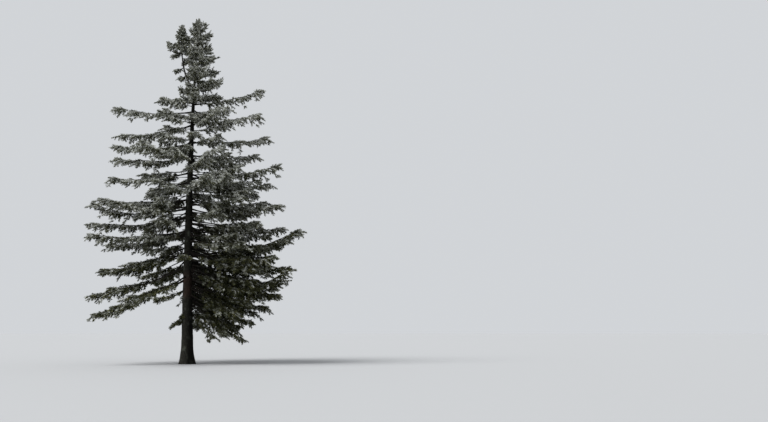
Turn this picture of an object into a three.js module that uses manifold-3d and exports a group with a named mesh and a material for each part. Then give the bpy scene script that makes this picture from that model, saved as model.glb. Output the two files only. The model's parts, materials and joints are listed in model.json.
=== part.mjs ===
// Norway spruce: a mature tree, 18 m tall, that grew in the open. It has one long trunk, bare low down, a
// second leader near the top, level boughs with upturned ends, drooping ones low on one side, and needles
// that hang. Millimetres and degrees, +Z up. The origin is the middle of the flat cut at ground level, and +X
// is to the right as the tree was surveyed. A bearing turns from +X towards +Y, which points away from the
// surveyor.
import * as THREE from "three";
import { mergeVertices } from "three/addons/utils/BufferGeometryUtils.js";
import Module from "manifold-3d";

const wasm = await Module();
wasm.setup();

const METRE = 1000;

// The trunk: its taper and bow, and the lobed flare at its foot
const TRUNK_TOP = 16.9 * METRE;
const TRUNK_FOOT_RADIUS = 300;
const TAPER_HEIGHT = 18.4 * METRE;
const TAPER_POWER = 0.95;
const FLARE = 110;
const FLARE_HEIGHT = 420;
const FLARE_LOBES = 5;
const FLARE_LOBE_DEPTH = 0.45;
const BOW = 240;
const BOW_LENGTH = 21.5 * METRE;
const TRUNK_SIDES = 15;
const TRUNK_RINGS = [0, 0.12, 0.3, 0.6, 1.1, 2, 3.4, 5, 6.7, 8.4, 10.1, 11.8, 13.4, 15, 16.2, 16.9];

// The second leader: it turns up beside the trunk, to the left
const LEADER_FOOT = 13.95 * METRE;
const LEADER_TOP = 16.9 * METRE;
const LEADER_SPREAD = 760;
const LEADER_ELBOW = 0.3;
const LEADER_RADIUS = 46;
const LEADER_TIP_RADIUS = 17;
const LEADER_SIDES = 8;
const LEADER_STEPS = 8;

// The tips of the crown above each leader
const CROWN_TOP = 18.0 * METRE;
const SECOND_TOP = 17.65 * METRE;
const TIP_STEM_TAPER = 0.5;
const TIP_STEM_STEPS = 2;

// A limb: its radius at the trunk for its reach, the share of that left at its tip, and how far it sags
const LIMB_RADIUS = 0.0085;
const LIMB_RADIUS_LEAST = 15;
const LIMB_TIP_SHARE = 0.25;
const LIMB_SIDES = 4;
const SWEEP = 0.19;
const BARE_STEPS = 2;
const STEM_STEPS = 3;
const STEM_END = 0.97;
const MEETING_GAP = 0.3;

// Twigs: how far apart they leave the stem, their angle to it, their length for its reach, and their fall
const TWIG_SPACING = 940;
const FEWEST_TWIGS = 2;
const FIRST_TWIG = 0.4;
const TWIG_ANGLE = 52;
const TWIG_SHARE = 0.19;
const TWIG_LEAST = 210;
const TWIG_SIDES = 3;
const TWIG_RADIUS = 16;
const TWIG_DROP = 0.2;
const TWIG_LIFT = 0.6;

// Sprays of needles: a blade's rim is given by how far along it each point lies, and how far to the side, for
// its length. Short boughs have shorter sprays.
const SPRAY_RIM = [[1, 0], [0.6, 0.1], [0.7, 0.3], [0, 0], [0.7, -0.3], [0.6, -0.1]];
const SPRAY_MIDDLE = 0.46;
const SPRAY_THICKNESS = 0.06;
const SPRAY_LENGTH = 1000;
const SPRAY_LEAST = 0.5;
const SPRAY_SHARE = 0.42;
const FULL_REACH = 5 * METRE;

// The sprays of a bough: where on its twig each one grows, its slope, its roll and its size
const HANGING = -48;
const TIP_ROLL = 75;
const END_SPRAY_AT = 0.85;
const END_DROP = 8;
const END_ROLL = 45;
const MIDDLE_SPRAY_AT = 0.45;
const MIDDLE_ROLL = 75;
const MIDDLE_SIZE = 0.8;
const BETWEEN_ROLL = 90;
const BETWEEN_SIZE = 0.85;

// How far these stray from the rule, in degrees and as shares
const HEADING_STRAY = 9;
const TWIG_STRAY = 6;
const LENGTH_STRAY = 0.15;
const LIFT_STRAY = 0.06;
const SPRAY_STRAY = { heading: 20, hanging: 14, falling: 8, roll: 20, endRoll: 25, tipRoll: 15, size: 0.1 };

// The sprays round an upright tip
const TIP_SPRAY = 0.5;
const TOP_SPRAYS = 8;
const TOP_SPRAY_TURN = 137.5;
const TOP_SPRAY_SLOPE = 40;
const TOP_SPRAY = 0.55;
const TOP_SPRAY_FIRST = 0.06;
const TOP_SPRAY_SPAN = 0.62;
const TOP_STRAY = { heading: 20, slope: 12, roll: 40 };

// How near to each other twigs and sprays of different growth may come, and how low they may hang
const CLEARANCE = 6;
const LOWEST_NEEDLE = 450;
const TRIES = 4;
const SMALLEST = 0.1;
const SEED = 20;

// The boughs as surveyed. Each has a name, the height where it leaves the trunk, its bearing, its reach and
// its rise to the tip, in metres and degrees, and the share of its length that is bare. From OWN_LIMB on, the
// bare length is a limb of its own, with a mass of needles beyond it.
const OWN_LIMB = 0.25;
const SURVEY = [
  ["low_twig", 2.4, 200, 0.9, -0.65, 0.24],
  ["low_right", 3.1, 352, 3.1, -2.0, 0.12],
  ["skirt_right", 3.8, 18, 4.2, -1.0, 0.15],
  ["droop_front", 4.2, 205, 4.6, -1.9, 0.36],
  ["sweep_right", 4.5, 350, 5.6, -0.1, 0.25],
  ["droop_left", 4.8, 187, 4.8, -1.5, 0.3],
  ["droop_back", 5.5, 168, 5.0, -0.8, 0.26],
  ["long_right", 5.4, 4, 5.8, 1.1, 0.26],
  ["left_1", 6.6, 203, 4.9, -0.4, 0.24],
  ["right_1", 7.0, 21, 5.1, 0.0, 0.14],
  ["left_2", 7.3, 180, 5.1, -0.3, 0.3],
  ["right_2", 8.0, 356, 4.9, -0.1, 0.16],
  ["left_3", 8.2, 194, 4.5, -0.1, 0.2],
  ["right_3", 8.9, 24, 4.4, 0.5, 0.16],
  ["left_4", 9.6, 204, 4.0, -0.6, 0.16],
  ["right_4", 9.3, 1, 4.8, 0.8, 0.3],
  ["left_5", 10.4, 178, 4.1, 0.0, 0.2],
  ["right_5", 10.5, 29, 3.8, 0.5, 0.14],
  ["left_6", 11.1, 200, 3.9, -0.4, 0.24],
  ["right_6", 11.2, 5, 4.1, 0.4, 0.2],
  ["left_7", 12.1, 174, 4.0, -0.4, 0.18],
  ["right_7", 12.3, 352, 3.8, 0.3, 0.14],
  ["left_8", 12.8, 193, 4.0, 0.0, 0.42],
  ["right_8", 13.2, 11, 3.7, 1.1, 0.16],
  ["left_9", 13.5, 188, 1.8, 0.0, 0.14],
];

// Short boughs near the top, in the same form. Those of the second leader grow from it, at the heights given.
const TOPS = [
  ["top_1", 13.6, 5, 1.4, 0.3, 0.1],
  ["top_2", 14.1, 350, 1.65, 0.5, 0.2],
  ["top_3", 14.4, 105, 1.2, 0.4, 0.1],
  ["top_4", 14.8, 262, 1.1, 0.4, 0.1],
  ["top_5", 15.1, 20, 1.25, 0.4, 0.1],
  ["top_6", 15.4, 80, 1.0, 0.4, 0.1],
  ["top_7", 15.7, 342, 1.15, 0.4, 0.1],
  ["top_8", 16.0, 245, 0.8, 0.4, 0.1],
  ["top_9", 16.3, 8, 0.95, 0.6, 0.1],
];
const LEADER_BOUGHS = [
  ["leader_low", 15.0, 195, 0.8, 0.15, 0.1],
  ["leader_high", 16.1, 175, 0.8, 0.35, 0.1],
];

// Boughs towards and away from the surveyor, by rule: one at each height, on each bearing in turn. Their
// reach and rise at a height follow the crown's outline.
const DEPTH_FIRST = 3.5;
const DEPTH_LAST = 13.0;
const DEPTH_COUNT = 12;
const DEPTH_BEARINGS = [58, 246, 128, 318, 92, 228, 296];
const DEPTH_BARE = 0.18;
const OUTLINE_REACH = [[2, 3.4], [5.5, 5.0], [8, 4.6], [11, 3.9], [13, 3.0]];
const OUTLINE_RISE = [[2, -1.4], [5.5, -0.3], [8, 0.2], [13, 0.5]];

// Bark and needles on a dull frosty day: the foliage is greyer the higher it grows, as rime lies on it
const BARK = { color: 0x3a322b, roughness: 0.95, metalness: 0 };
const NEEDLES_LOW = new THREE.Color(0x2c3524);
const NEEDLES_HIGH = new THREE.Color(0x6f746a);
const NEEDLES_ROUGHNESS = 0.9;

const radians = THREE.MathUtils.degToRad;
const degrees = THREE.MathUtils.radToDeg;
const level = (bearing) => new THREE.Vector3(Math.cos(radians(bearing)), Math.sin(radians(bearing)), 0);
const across = (bearing) => new THREE.Vector3(-Math.sin(radians(bearing)), Math.cos(radians(bearing)), 0);

/** Numbers from 0 to 1 that are the same each time for one seed. */
function seeded(seed) {
  let state = (seed * 2654435761) >>> 0;
  return () => {
    state = (Math.imul(state, 1664525) + 1013904223) >>> 0;
    return state / 4294967296;
  };
}
const random = seeded(SEED);
const vary = (spread) => (random() * 2 - 1) * spread;

/** The value at x of a line through rising [x, value] pairs. */
function along(line, x) {
  const next = Math.max(1, line.findIndex(([end]) => x <= end));
  const [x0, v0] = line[next - 1];
  const [x1, v1] = line[next];
  return v0 + ((v1 - v0) * (x - x0)) / (x1 - x0);
}

/** A closed solid from a closed three.js geometry. */
function solidOf(geometry) {
  const bare = new THREE.BufferGeometry();
  bare.setAttribute("position", geometry.getAttribute("position"));
  bare.setIndex(geometry.index);
  const merged = mergeVertices(bare, 0.01);
  const index = merged.index.array;
  const faces = [];
  for (let i = 0; i < index.length; i += 3) {
    const [a, b, c] = index.subarray(i, i + 3);
    if (a !== b && b !== c && c !== a) faces.push(a, b, c);
  }
  const vertProperties = new Float32Array(merged.getAttribute("position").array);
  return new wasm.Manifold(
    new wasm.Mesh({ numProp: 3, vertProperties, triVerts: Uint32Array.from(faces) }),
  );
}

/** A solid's geometry, drawn about a point of its own so that the mesh can be placed there. */
function geometryOf(solid, foot) {
  const mesh = solid.getMesh();
  const geometry = new THREE.BufferGeometry();
  geometry.setAttribute("position", new THREE.BufferAttribute(new Float32Array(mesh.vertProperties), 3));
  geometry.setIndex(new THREE.BufferAttribute(new Uint32Array(mesh.triVerts), 1));
  geometry.translate(-foot.x, -foot.y, -foot.z);
  geometry.computeVertexNormals();
  return geometry;
}

/** A solid with its box. */
function boxed(solid) {
  return { solid, box: solid.boundingBox() };
}

/** Whether two boxed solids come nearer to each other than the clearance. */
function meets(a, b) {
  for (let k = 0; k < 3; k++) {
    if (a.box.min[k] > b.box.max[k] + CLEARANCE) return false;
    if (b.box.min[k] > a.box.max[k] + CLEARANCE) return false;
  }
  return a.solid.minGap(b.solid, CLEARANCE) < CLEARANCE;
}

/** The largest single body of a solid, which drops any loose scrap. */
function largest(solid) {
  return solid.decompose().reduce((best, body) => (body.volume() > best.volume() ? body : best));
}

/** The middle of the trunk at a height: it bows a little to the left. */
function trunkAxis(height) {
  return new THREE.Vector3(-BOW * Math.sin((Math.PI * height) / BOW_LENGTH), 0, height);
}

/** The trunk's radius at a height and an angle, with the lobes of its flare at the foot. */
function trunkRadius(height, angle) {
  const stem = TRUNK_FOOT_RADIUS * (1 - height / TAPER_HEIGHT) ** TAPER_POWER;
  const flare = FLARE * Math.exp(-height / FLARE_HEIGHT);
  return stem + flare * (1 + FLARE_LOBE_DEPTH * Math.cos(FLARE_LOBES * angle));
}

/** The trunk, grown all round by a gap: rings of a cylinder, each at its own height and radius. */
function trunkSolid(gap) {
  const rings = TRUNK_RINGS.length - 1;
  const geometry = new THREE.CylinderGeometry(1, 1, 1, TRUNK_SIDES, rings);
  const position = geometry.getAttribute("position");
  for (let i = 0; i < position.count; i++) {
    const height = TRUNK_RINGS[Math.round((position.getY(i) + 0.5) * rings)] * METRE;
    const angle = Math.atan2(position.getZ(i), position.getX(i));
    const share = Math.hypot(position.getX(i), position.getZ(i));
    const radius = share * (trunkRadius(height, angle) + gap);
    const middle = trunkAxis(height);
    // The cylinder stands on Y, so its Z is turned to -Y here, which keeps its faces outwards.
    position.setXYZ(i, middle.x + radius * Math.cos(angle), middle.y - radius * Math.sin(angle), height);
  }
  return solidOf(geometry);
}

/** A limb from one share of a curve to another, tapering as radiusAt says. The curve lies in the upright
 *  plane of the bearing. */
function limbSolid(curve, bearing, from, to, radiusAt, sides, steps) {
  const geometry = new THREE.CylinderGeometry(1, 1, 1, sides, steps);
  const position = geometry.getAttribute("position");
  const side = across(bearing);
  for (let i = 0; i < position.count; i++) {
    const share = from + (to - from) * (position.getY(i) + 0.5);
    const point = curve.getPoint(share);
    const radius = radiusAt(share);
    point.addScaledVector(side, position.getX(i) * radius);
    point.addScaledVector(side.clone().cross(curve.getTangent(share)), position.getZ(i) * radius);
    position.setXYZ(i, point.x, point.y, point.z);
  }
  return solidOf(geometry);
}

/** A twig that tapers to a point, and a function for the places along it where its sprays grow. */
function twig(foot, bearing, length, slope) {
  const pointing = level(bearing).setZ(slope).normalize();
  const geometry = new THREE.ConeGeometry(TWIG_RADIUS, length, TWIG_SIDES);
  geometry.translate(0, length / 2, 0);
  geometry.applyQuaternion(new THREE.Quaternion().setFromUnitVectors(THREE.Object3D.DEFAULT_UP, pointing));
  geometry.translate(foot.x, foot.y, foot.z);
  return { solid: solidOf(geometry), at: (share) => foot.clone().addScaledVector(pointing, share * length) };
}

/** A spray of needles: a blade, thick along its middle, whose rim is drawn out into teeth. It points along
 *  its bearing and slope, and is rolled about its own length from level. */
function spray(foot, bearing, slope, roll, length) {
  const half = SPRAY_THICKNESS / 2;
  const profile = [new THREE.Vector2(0, -half), new THREE.Vector2(1, 0), new THREE.Vector2(0, half)];
  const geometry = new THREE.LatheGeometry(profile, SPRAY_RIM.length);
  const position = geometry.getAttribute("position");
  const pointing = level(bearing).multiplyScalar(Math.cos(radians(slope)));
  pointing.z = Math.sin(radians(slope));
  const side = across(bearing).applyAxisAngle(pointing, radians(roll));
  const face = side.clone().cross(pointing);
  for (let i = 0; i < position.count; i++) {
    const onRim = Math.abs(position.getY(i)) < half / 2;
    const turn = Math.atan2(position.getX(i), position.getZ(i)) / (2 * Math.PI);
    const rim = SPRAY_RIM[Math.round((1 - turn) * SPRAY_RIM.length) % SPRAY_RIM.length];
    const [out, aside] = onRim ? rim : [SPRAY_MIDDLE, 0];
    const point = foot.clone();
    point.addScaledVector(pointing, out * length);
    point.addScaledVector(side, aside * length);
    point.addScaledVector(face, position.getY(i) * length);
    position.setXYZ(i, point.x, point.y, point.z);
  }
  return { solid: solidOf(geometry) };
}

/** The run of a bough: it leaves flatter than the straight line to its tip, and turns up at its end. */
function limbCurve(root, bearing, reach, rise, sweep) {
  const half = level(bearing).multiplyScalar(reach / 2);
  const middle = root.clone().add(half);
  middle.z += rise / 2 - (sweep * reach) / 2;
  const tip = root.clone().add(half).add(half);
  tip.z += rise;
  return new THREE.QuadraticBezierCurve3(root, middle, tip);
}

/** The second leader's run: out from the trunk, then up beside it. */
function leaderCurve() {
  const root = trunkAxis(LEADER_FOOT);
  const tip = root.clone().add(new THREE.Vector3(-LEADER_SPREAD, 0, LEADER_TOP - LEADER_FOOT));
  const elbow = new THREE.Vector3(tip.x, 0, root.z + (LEADER_TOP - LEADER_FOOT) * LEADER_ELBOW);
  return new THREE.QuadraticBezierCurve3(root, elbow, tip);
}

const leader = leaderCurve();
const leaderRadius = (share) => LEADER_RADIUS + (LEADER_TIP_RADIUS - LEADER_RADIUS) * share;

/** The middle of the second leader at a height, found by halving. */
function leaderAxis(height) {
  let low = 0;
  let high = 1;
  while (high - low > 1e-6) {
    const share = (low + high) / 2;
    if (leader.getPoint(share).z < height) low = share;
    else high = share;
  }
  return leader.getPoint(low);
}

/** The second leader, grown all round by a gap. */
function leaderSolid(gap) {
  return limbSolid(leader, 180, 0, 1, (share) => leaderRadius(share) + gap, LEADER_SIDES, LEADER_STEPS);
}

/** A bough from its survey row and the middle of the stem that it grows from. */
function surveyed([name, height, bearing, reach, rise, bare], axis) {
  const curve = limbCurve(axis(height * METRE), bearing, reach * METRE, rise * METRE, SWEEP);
  return { name, curve, bearing, reach: reach * METRE, bare };
}

/** Every bough of the tree. */
function allBoughs() {
  const boughs = [...SURVEY, ...TOPS].map((row) => surveyed(row, trunkAxis));
  for (let i = 0; i < DEPTH_COUNT; i++) {
    const height = DEPTH_FIRST + ((DEPTH_LAST - DEPTH_FIRST) * i) / (DEPTH_COUNT - 1);
    const bearing = DEPTH_BEARINGS[i % DEPTH_BEARINGS.length];
    const [reach, rise] = [along(OUTLINE_REACH, height), along(OUTLINE_RISE, height)];
    boughs.push(surveyed(["depth_" + (i + 1), height, bearing, reach, rise, DEPTH_BARE], trunkAxis));
  }
  return boughs.concat(LEADER_BOUGHS.map((row) => surveyed(row, leaderAxis)));
}

const limbs = new THREE.Group();
const needles = new THREE.Group();
const tree = new THREE.Group();
tree.add(limbs, needles);

/** Adds a solid to a group as a named mesh that stands at its foot. */
function place(group, name, solid, foot, finish) {
  const mesh = new THREE.Mesh(geometryOf(solid, foot), new THREE.MeshStandardMaterial(finish));
  mesh.name = name;
  mesh.position.copy(foot);
  group.add(mesh);
}

// What stands already, which later growth keeps clear of, and the space that limbs' roots are cut back from
const standing = [];
const masses = [];
const room = trunkSolid(MEETING_GAP).add(leaderSolid(MEETING_GAP));

/** Places a limb of wood. */
function placeLimb(name, solid, foot) {
  place(limbs, name, solid, foot, BARK);
  standing.push(boxed(solid));
}

/** Sets out one bough: its bare limb where it has one, and the stem of its needles, both from one taper. */
function setOut({ name, curve, bearing, reach, bare }) {
  const foot = Math.max(LIMB_RADIUS_LEAST, reach * LIMB_RADIUS);
  const taper = (share) => foot * (1 - (1 - LIMB_TIP_SHARE) * share);
  const apart = bare >= OWN_LIMB;
  const from = apart ? bare + MEETING_GAP / reach : 0;
  if (apart) {
    const limb = limbSolid(curve, bearing, 0, bare, taper, LIMB_SIDES, BARE_STEPS);
    placeLimb("bough_" + name, largest(limb.subtract(room)), curve.getPoint(0));
  }
  const run = limbSolid(curve, bearing, from, STEM_END, taper, LIMB_SIDES, STEM_STEPS);
  const stem = boxed(apart ? run : largest(run.subtract(room)));
  masses.push({ name, curve, bearing, reach, bare, from, stem, parts: [], fill: fillBough });
}

/** Sets out the stem that goes on from a leader's flat tip to the top of the crown. */
function setOutTop(name, tip, radius, top) {
  const from = tip.clone().setZ(tip.z + MEETING_GAP);
  const curve = limbCurve(from, 0, 1, top - from.z, 0);
  const taper = (share) => radius * (1 - TIP_STEM_TAPER * share);
  const stem = boxed(limbSolid(curve, 0, 0, 1, taper, LIMB_SIDES, TIP_STEM_STEPS));
  masses.push({ name, curve, stem, parts: [], fill: fillTop });
}

/** Adds a piece to a mass where it is free of all but the piece that carries it. After a few tries it is
 *  skipped. */
function grow(mass, carrier, make) {
  for (let i = 0; i < TRIES; i++) {
    const made = make();
    const part = { ...made, ...boxed(made.solid) };
    const free = !standing.some((other) => other !== carrier && meets(part, other));
    if (free && part.box.min[2] > LOWEST_NEEDLE) {
      standing.push(part);
      mass.parts.push(part);
      return part;
    }
  }
  return null;
}

/** A point on the middle of a mass's stem, which runs straight from ring to ring. */
function onStem({ curve, from }, share) {
  const step = (STEM_END - from) / STEM_STEPS;
  const ring = Math.min(STEM_STEPS - 1, Math.floor((share - from) / step));
  const start = from + step * ring;
  return curve.getPoint(start).lerp(curve.getPoint(start + step), (share - start) / step);
}

/** Grows the two sprays of a twig: one beyond its end, and one that hangs from its middle. */
function growTwigSprays(mass, arm, heading, slope, side, size) {
  const fall = degrees(Math.atan(slope)) - END_DROP;
  grow(mass, arm, () => {
    const turned = heading + vary(SPRAY_STRAY.heading);
    const falling = fall + vary(SPRAY_STRAY.falling);
    const roll = side * END_ROLL + vary(SPRAY_STRAY.endRoll);
    return spray(arm.at(END_SPRAY_AT), turned, falling, roll, size * (1 + vary(SPRAY_STRAY.size)));
  });
  grow(mass, arm, () => {
    const turned = mass.bearing + vary(SPRAY_STRAY.heading);
    const falling = HANGING + vary(SPRAY_STRAY.hanging);
    const roll = -side * MIDDLE_ROLL + vary(SPRAY_STRAY.roll);
    const share = MIDDLE_SIZE + vary(SPRAY_STRAY.size);
    return spray(arm.at(MIDDLE_SPRAY_AT), turned, falling, roll, size * share);
  });
}

/** Grows a bough's needles: one spray at its tip, then twigs to both sides in turn, shorter towards the tip,
 *  each with its two sprays, and more sprays that hang from the stem between them. */
function fillBough(mass) {
  const { bearing, bare, reach, curve, stem } = mass;
  const full = SPRAY_LENGTH * (SPRAY_LEAST + ((1 - SPRAY_LEAST) * reach) / FULL_REACH);
  const size = Math.min(full, SPRAY_SHARE * reach);
  const tipFoot = onStem(mass, 1 - size / reach);
  const tipSlope = degrees(Math.asin(curve.getPoint(1).sub(tipFoot).normalize().z));
  grow(mass, stem, () => spray(tipFoot, bearing, tipSlope, TIP_ROLL + vary(SPRAY_STRAY.tipRoll), size));
  const count = Math.max(FEWEST_TWIGS, Math.round(((1 - bare) * reach) / TWIG_SPACING));
  for (let i = 0; i < count; i++) {
    const out = (i + FIRST_TWIG) / (count + FIRST_TWIG);
    const share = bare + (1 - bare) * out;
    const side = i % 2 ? 1 : -1;
    const heading = bearing + side * TWIG_ANGLE + vary(HEADING_STRAY);
    const length = (TWIG_LEAST + TWIG_SHARE * reach * (1 - out)) * (1 + vary(LENGTH_STRAY));
    const slope = curve.getTangent(share).z * TWIG_LIFT - TWIG_DROP + vary(LIFT_STRAY);
    const arm = grow(mass, stem, () => twig(onStem(mass, share), heading + vary(TWIG_STRAY), length, slope));
    if (arm) growTwigSprays(mass, arm, heading, slope, side, size);
    const between = onStem(mass, Math.min(STEM_END, share + (1 - bare) / count / 2));
    grow(mass, stem, () => {
      const turned = bearing + vary(SPRAY_STRAY.heading);
      const falling = HANGING + vary(SPRAY_STRAY.hanging);
      const roll = BETWEEN_ROLL + vary(SPRAY_STRAY.roll);
      return spray(between, turned, falling, roll, size * (BETWEEN_SIZE + vary(SPRAY_STRAY.size)));
    });
  }
}

/** Grows the sprays round an upright stem, in a spiral, with one straight up at the tip. */
function fillTop(mass) {
  const tip = mass.curve.getPoint(1);
  tip.z -= SPRAY_LENGTH * TIP_SPRAY;
  grow(mass, mass.stem, () => spray(tip, 0, 90, 0, SPRAY_LENGTH * TIP_SPRAY));
  for (let i = 0; i < TOP_SPRAYS; i++) {
    const foot = mass.curve.getPoint(TOP_SPRAY_FIRST + (TOP_SPRAY_SPAN * i) / TOP_SPRAYS);
    grow(mass, mass.stem, () => {
      const turned = i * TOP_SPRAY_TURN + vary(TOP_STRAY.heading);
      const slope = TOP_SPRAY_SLOPE + vary(TOP_STRAY.slope);
      return spray(foot, turned, slope, vary(TOP_STRAY.roll), SPRAY_LENGTH * TOP_SPRAY);
    });
  }
}

placeLimb("trunk", trunkSolid(0), trunkAxis(0));
placeLimb("second_leader", largest(leaderSolid(0).subtract(trunkSolid(MEETING_GAP))), leader.getPoint(0));
allBoughs().forEach(setOut);
setOutTop("tip", trunkAxis(TRUNK_TOP), trunkRadius(TRUNK_TOP, 0), CROWN_TOP);
setOutTop("second_tip", leader.getPoint(1), LEADER_TIP_RADIUS, SECOND_TOP);
for (const mass of masses) standing.push(mass.stem);

for (const mass of masses) {
  mass.fill(mass);
  const whole = mass.parts.reduce((made, part) => made.add(part.solid), mass.stem.solid);
  const foot = mass.curve.getPoint(0);
  const color = NEEDLES_LOW.clone().lerp(NEEDLES_HIGH, foot.z / CROWN_TOP);
  const finish = { color, roughness: NEEDLES_ROUGHNESS, metalness: 0 };
  place(needles, "needles_" + mass.name, largest(whole).simplify(SMALLEST), foot, finish);
}

export default tree;
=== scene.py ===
"""Norway spruce, 18 m tall, on a dull frosty day: bark, boughs, twigs and rimed needles.

Everything is in metres, +Z up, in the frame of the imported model. A bearing is in degrees and turns
from +X, the tree's right as seen from the camera, towards +Y, which points away from it.
"""

import json
import logging
import math
from dataclasses import dataclass, field
from enum import Enum

import bpy
import numpy as np
from numpy.typing import NDArray
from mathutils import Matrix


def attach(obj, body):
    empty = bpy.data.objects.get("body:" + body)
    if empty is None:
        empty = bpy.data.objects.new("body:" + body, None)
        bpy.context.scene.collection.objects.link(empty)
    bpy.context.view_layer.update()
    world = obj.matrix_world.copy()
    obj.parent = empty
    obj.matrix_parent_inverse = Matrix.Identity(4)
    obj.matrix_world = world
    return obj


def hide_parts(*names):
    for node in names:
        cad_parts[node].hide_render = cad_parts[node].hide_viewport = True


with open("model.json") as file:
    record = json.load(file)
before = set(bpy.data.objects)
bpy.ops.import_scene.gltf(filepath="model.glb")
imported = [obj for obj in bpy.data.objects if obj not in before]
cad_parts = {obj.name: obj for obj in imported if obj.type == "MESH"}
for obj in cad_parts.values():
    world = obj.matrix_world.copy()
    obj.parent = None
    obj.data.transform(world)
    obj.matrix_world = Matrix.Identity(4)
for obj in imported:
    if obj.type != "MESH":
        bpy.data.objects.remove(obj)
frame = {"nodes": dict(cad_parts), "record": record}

log = logging.getLogger("spruce")
Array = NDArray[np.float64]
Indices = NDArray[np.int64]
Color = tuple[float, float, float]
Range = tuple[float, float]
Numbers = Array | float
Socket = bpy.types.NodeSocket

SEED = 7
BODY = "root"
GOLDEN_TURN = 137.5
UP = np.array([0.0, 0.0, 1.0])


class Zone(Enum):
    """A height zone of the crown, named by the record's slot that its solids have."""

    LOW = "needles_dark"
    MIDDLE = "needles_olive"
    HIGH = "needles_rimed"

    @staticmethod
    def at(height: float) -> "Zone":
        """The zone of a bough that leaves its stem at a height."""
        return list(Zone)[int(np.digitize(height, ZONE_TOPS))]

    def nodes(self) -> list[str]:
        """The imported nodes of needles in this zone."""
        rows = frame["record"]["subparts"]
        return sorted(row["node"] for row in rows if row["material_slot"] == self.value)


# Where the low and the middle zone end
ZONE_TOPS = (6.0, 11.0)


class Shade(Enum):
    """How pale a needle is: how much rime it carries, from none to thick, darkened where painted shade is
    dealt. The value orders them.
    """

    DARK = 0
    OLIVE = 1
    RIMED = 2
    FROSTED = 3


@dataclass(frozen=True)
class PlainFinish:
    """A matt finish of one colour, for what shows no pattern."""

    name: str
    color: Color
    roughness: float
    sheen: float = 0.0
    slot: str = "bark"
    specular: float = 0.25

    def material(self) -> bpy.types.Material:
        """The material, which is made the first time.

        Returns:
            A material with one Principled shader.
        """
        known = bpy.data.materials.get(self.name)
        if known:
            return known
        made = bpy.data.materials.new(self.name)
        made.use_nodes = True
        inputs = made.node_tree.nodes["Principled BSDF"].inputs
        inputs["Base Color"].default_value = (*self.color, 1.0)
        inputs["Roughness"].default_value = self.roughness
        inputs["Specular IOR Level"].default_value = self.specular
        inputs["Sheen Weight"].default_value = self.sheen
        return made


NEEDLE_FINISHES = {
    Shade.DARK: PlainFinish("dark_needles", (0.034, 0.036, 0.016), 0.62, 0.0, "needles_dark"),
    Shade.OLIVE: PlainFinish("olive_needles", (0.094, 0.096, 0.052), 0.68, 0.05, "needles_olive"),
    Shade.RIMED: PlainFinish("rimed_needles", (0.205, 0.213, 0.174), 0.78, 0.1, "needles_rimed"),
    Shade.FROSTED: PlainFinish("frosted_needles", (0.500, 0.510, 0.475), 0.85, 0.2, "needles_rimed"),
}

# The lowest boughs are greener, as little rime settles on them
LOW_FINISHES = NEEDLE_FINISHES | {
    Shade.DARK: PlainFinish("low_dark_needles", (0.032, 0.035, 0.011), 0.62, 0.0, "needles_dark"),
    Shade.OLIVE: PlainFinish("low_olive_needles", (0.102, 0.102, 0.038), 0.68, 0.05, "needles_olive"),
}

TWIG_FINISH = PlainFinish("twig_bark", (0.040, 0.034, 0.028), 0.9, specular=0.5)
FLOOR_FINISH = PlainFinish("floor", (0.36, 0.365, 0.37), 0.9, specular=0.5)


@dataclass(frozen=True)
class Nodes:
    """A material's node tree, in which a node is added with its inputs joined or set."""

    tree: bpy.types.NodeTree

    def add(self, kind: str, output: str, inputs: dict, **settings: str) -> Socket:
        """Adds a node.

        Args:
            kind: Its type, without its first word.
            output: The name of the output that is used.
            inputs: A socket or a value for each input that isn't left as it is.
            settings: The node's own settings.

        Returns:
            The output's socket.
        """
        node = self.tree.nodes.new("ShaderNode" + kind)
        for name, value in settings.items():
            setattr(node, name, value)
        for name, value in inputs.items():
            if isinstance(value, Socket):
                self.tree.links.new(value, node.inputs[name])
            else:
                node.inputs[name].default_value = value
        return node.outputs[output]

    def place(self) -> Socket:
        """The Object coordinates."""
        return self.add("TexCoord", "Object", {})

    def cells(self, place: Socket, scale: float, feature: str, output: str) -> Socket:
        """A Voronoi texture of a scale and feature at a place."""
        return self.add("TexVoronoi", output, {"Scale": scale, "Vector": place}, feature=feature)

    def noise(self, place: Socket, scale: float, detail: float, output: str = "Fac") -> Socket:
        """A noise texture of a scale and detail at a place."""
        return self.add("TexNoise", output, {"Scale": scale, "Detail": detail, "Vector": place})

    def product(self, a: Socket, b: "Socket | float") -> Socket:
        """Two values multiplied."""
        return self.add("Math", "Value", {0: a, 1: b}, operation="MULTIPLY")

    def ramp(self, value: Socket, low: float, high: float) -> Socket:
        """A value stretched so that low gives 0 and high gives 1."""
        return self.add("MapRange", "Result", {"From Min": low, "From Max": high, "Value": value})

    def mix(
        self,
        factor: "Socket | float",
        a: "Socket | Color",
        b: "Socket | Color",
        most: float = 1.0,
        blend: str = "MIX",
    ) -> Socket:
        """Mixes two colours.

        Args:
            factor: 0 for a, 1 for b.
            a: The first colour or socket.
            b: The second colour or socket.
            most: The largest share of b.
            blend: How b is laid over a.

        Returns:
            The mixed colour's socket.
        """
        if most < 1.0:
            factor = self.product(factor, most)
        a, b = (value if isinstance(value, Socket) else (*value, 1.0) for value in (a, b))
        inputs = {"Factor": factor, "A": a, "B": b}
        return self.add("Mix", "Result", inputs, data_type="RGBA", blend_type=blend)

    def bump(self, height: Socket, strength: float, distance: float, under: dict) -> Socket:
        """A bump from a height, over another bump's normal where one is given."""
        inputs = {"Strength": strength, "Distance": distance, "Height": height}
        return self.add("Bump", "Normal", inputs | under)


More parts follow.
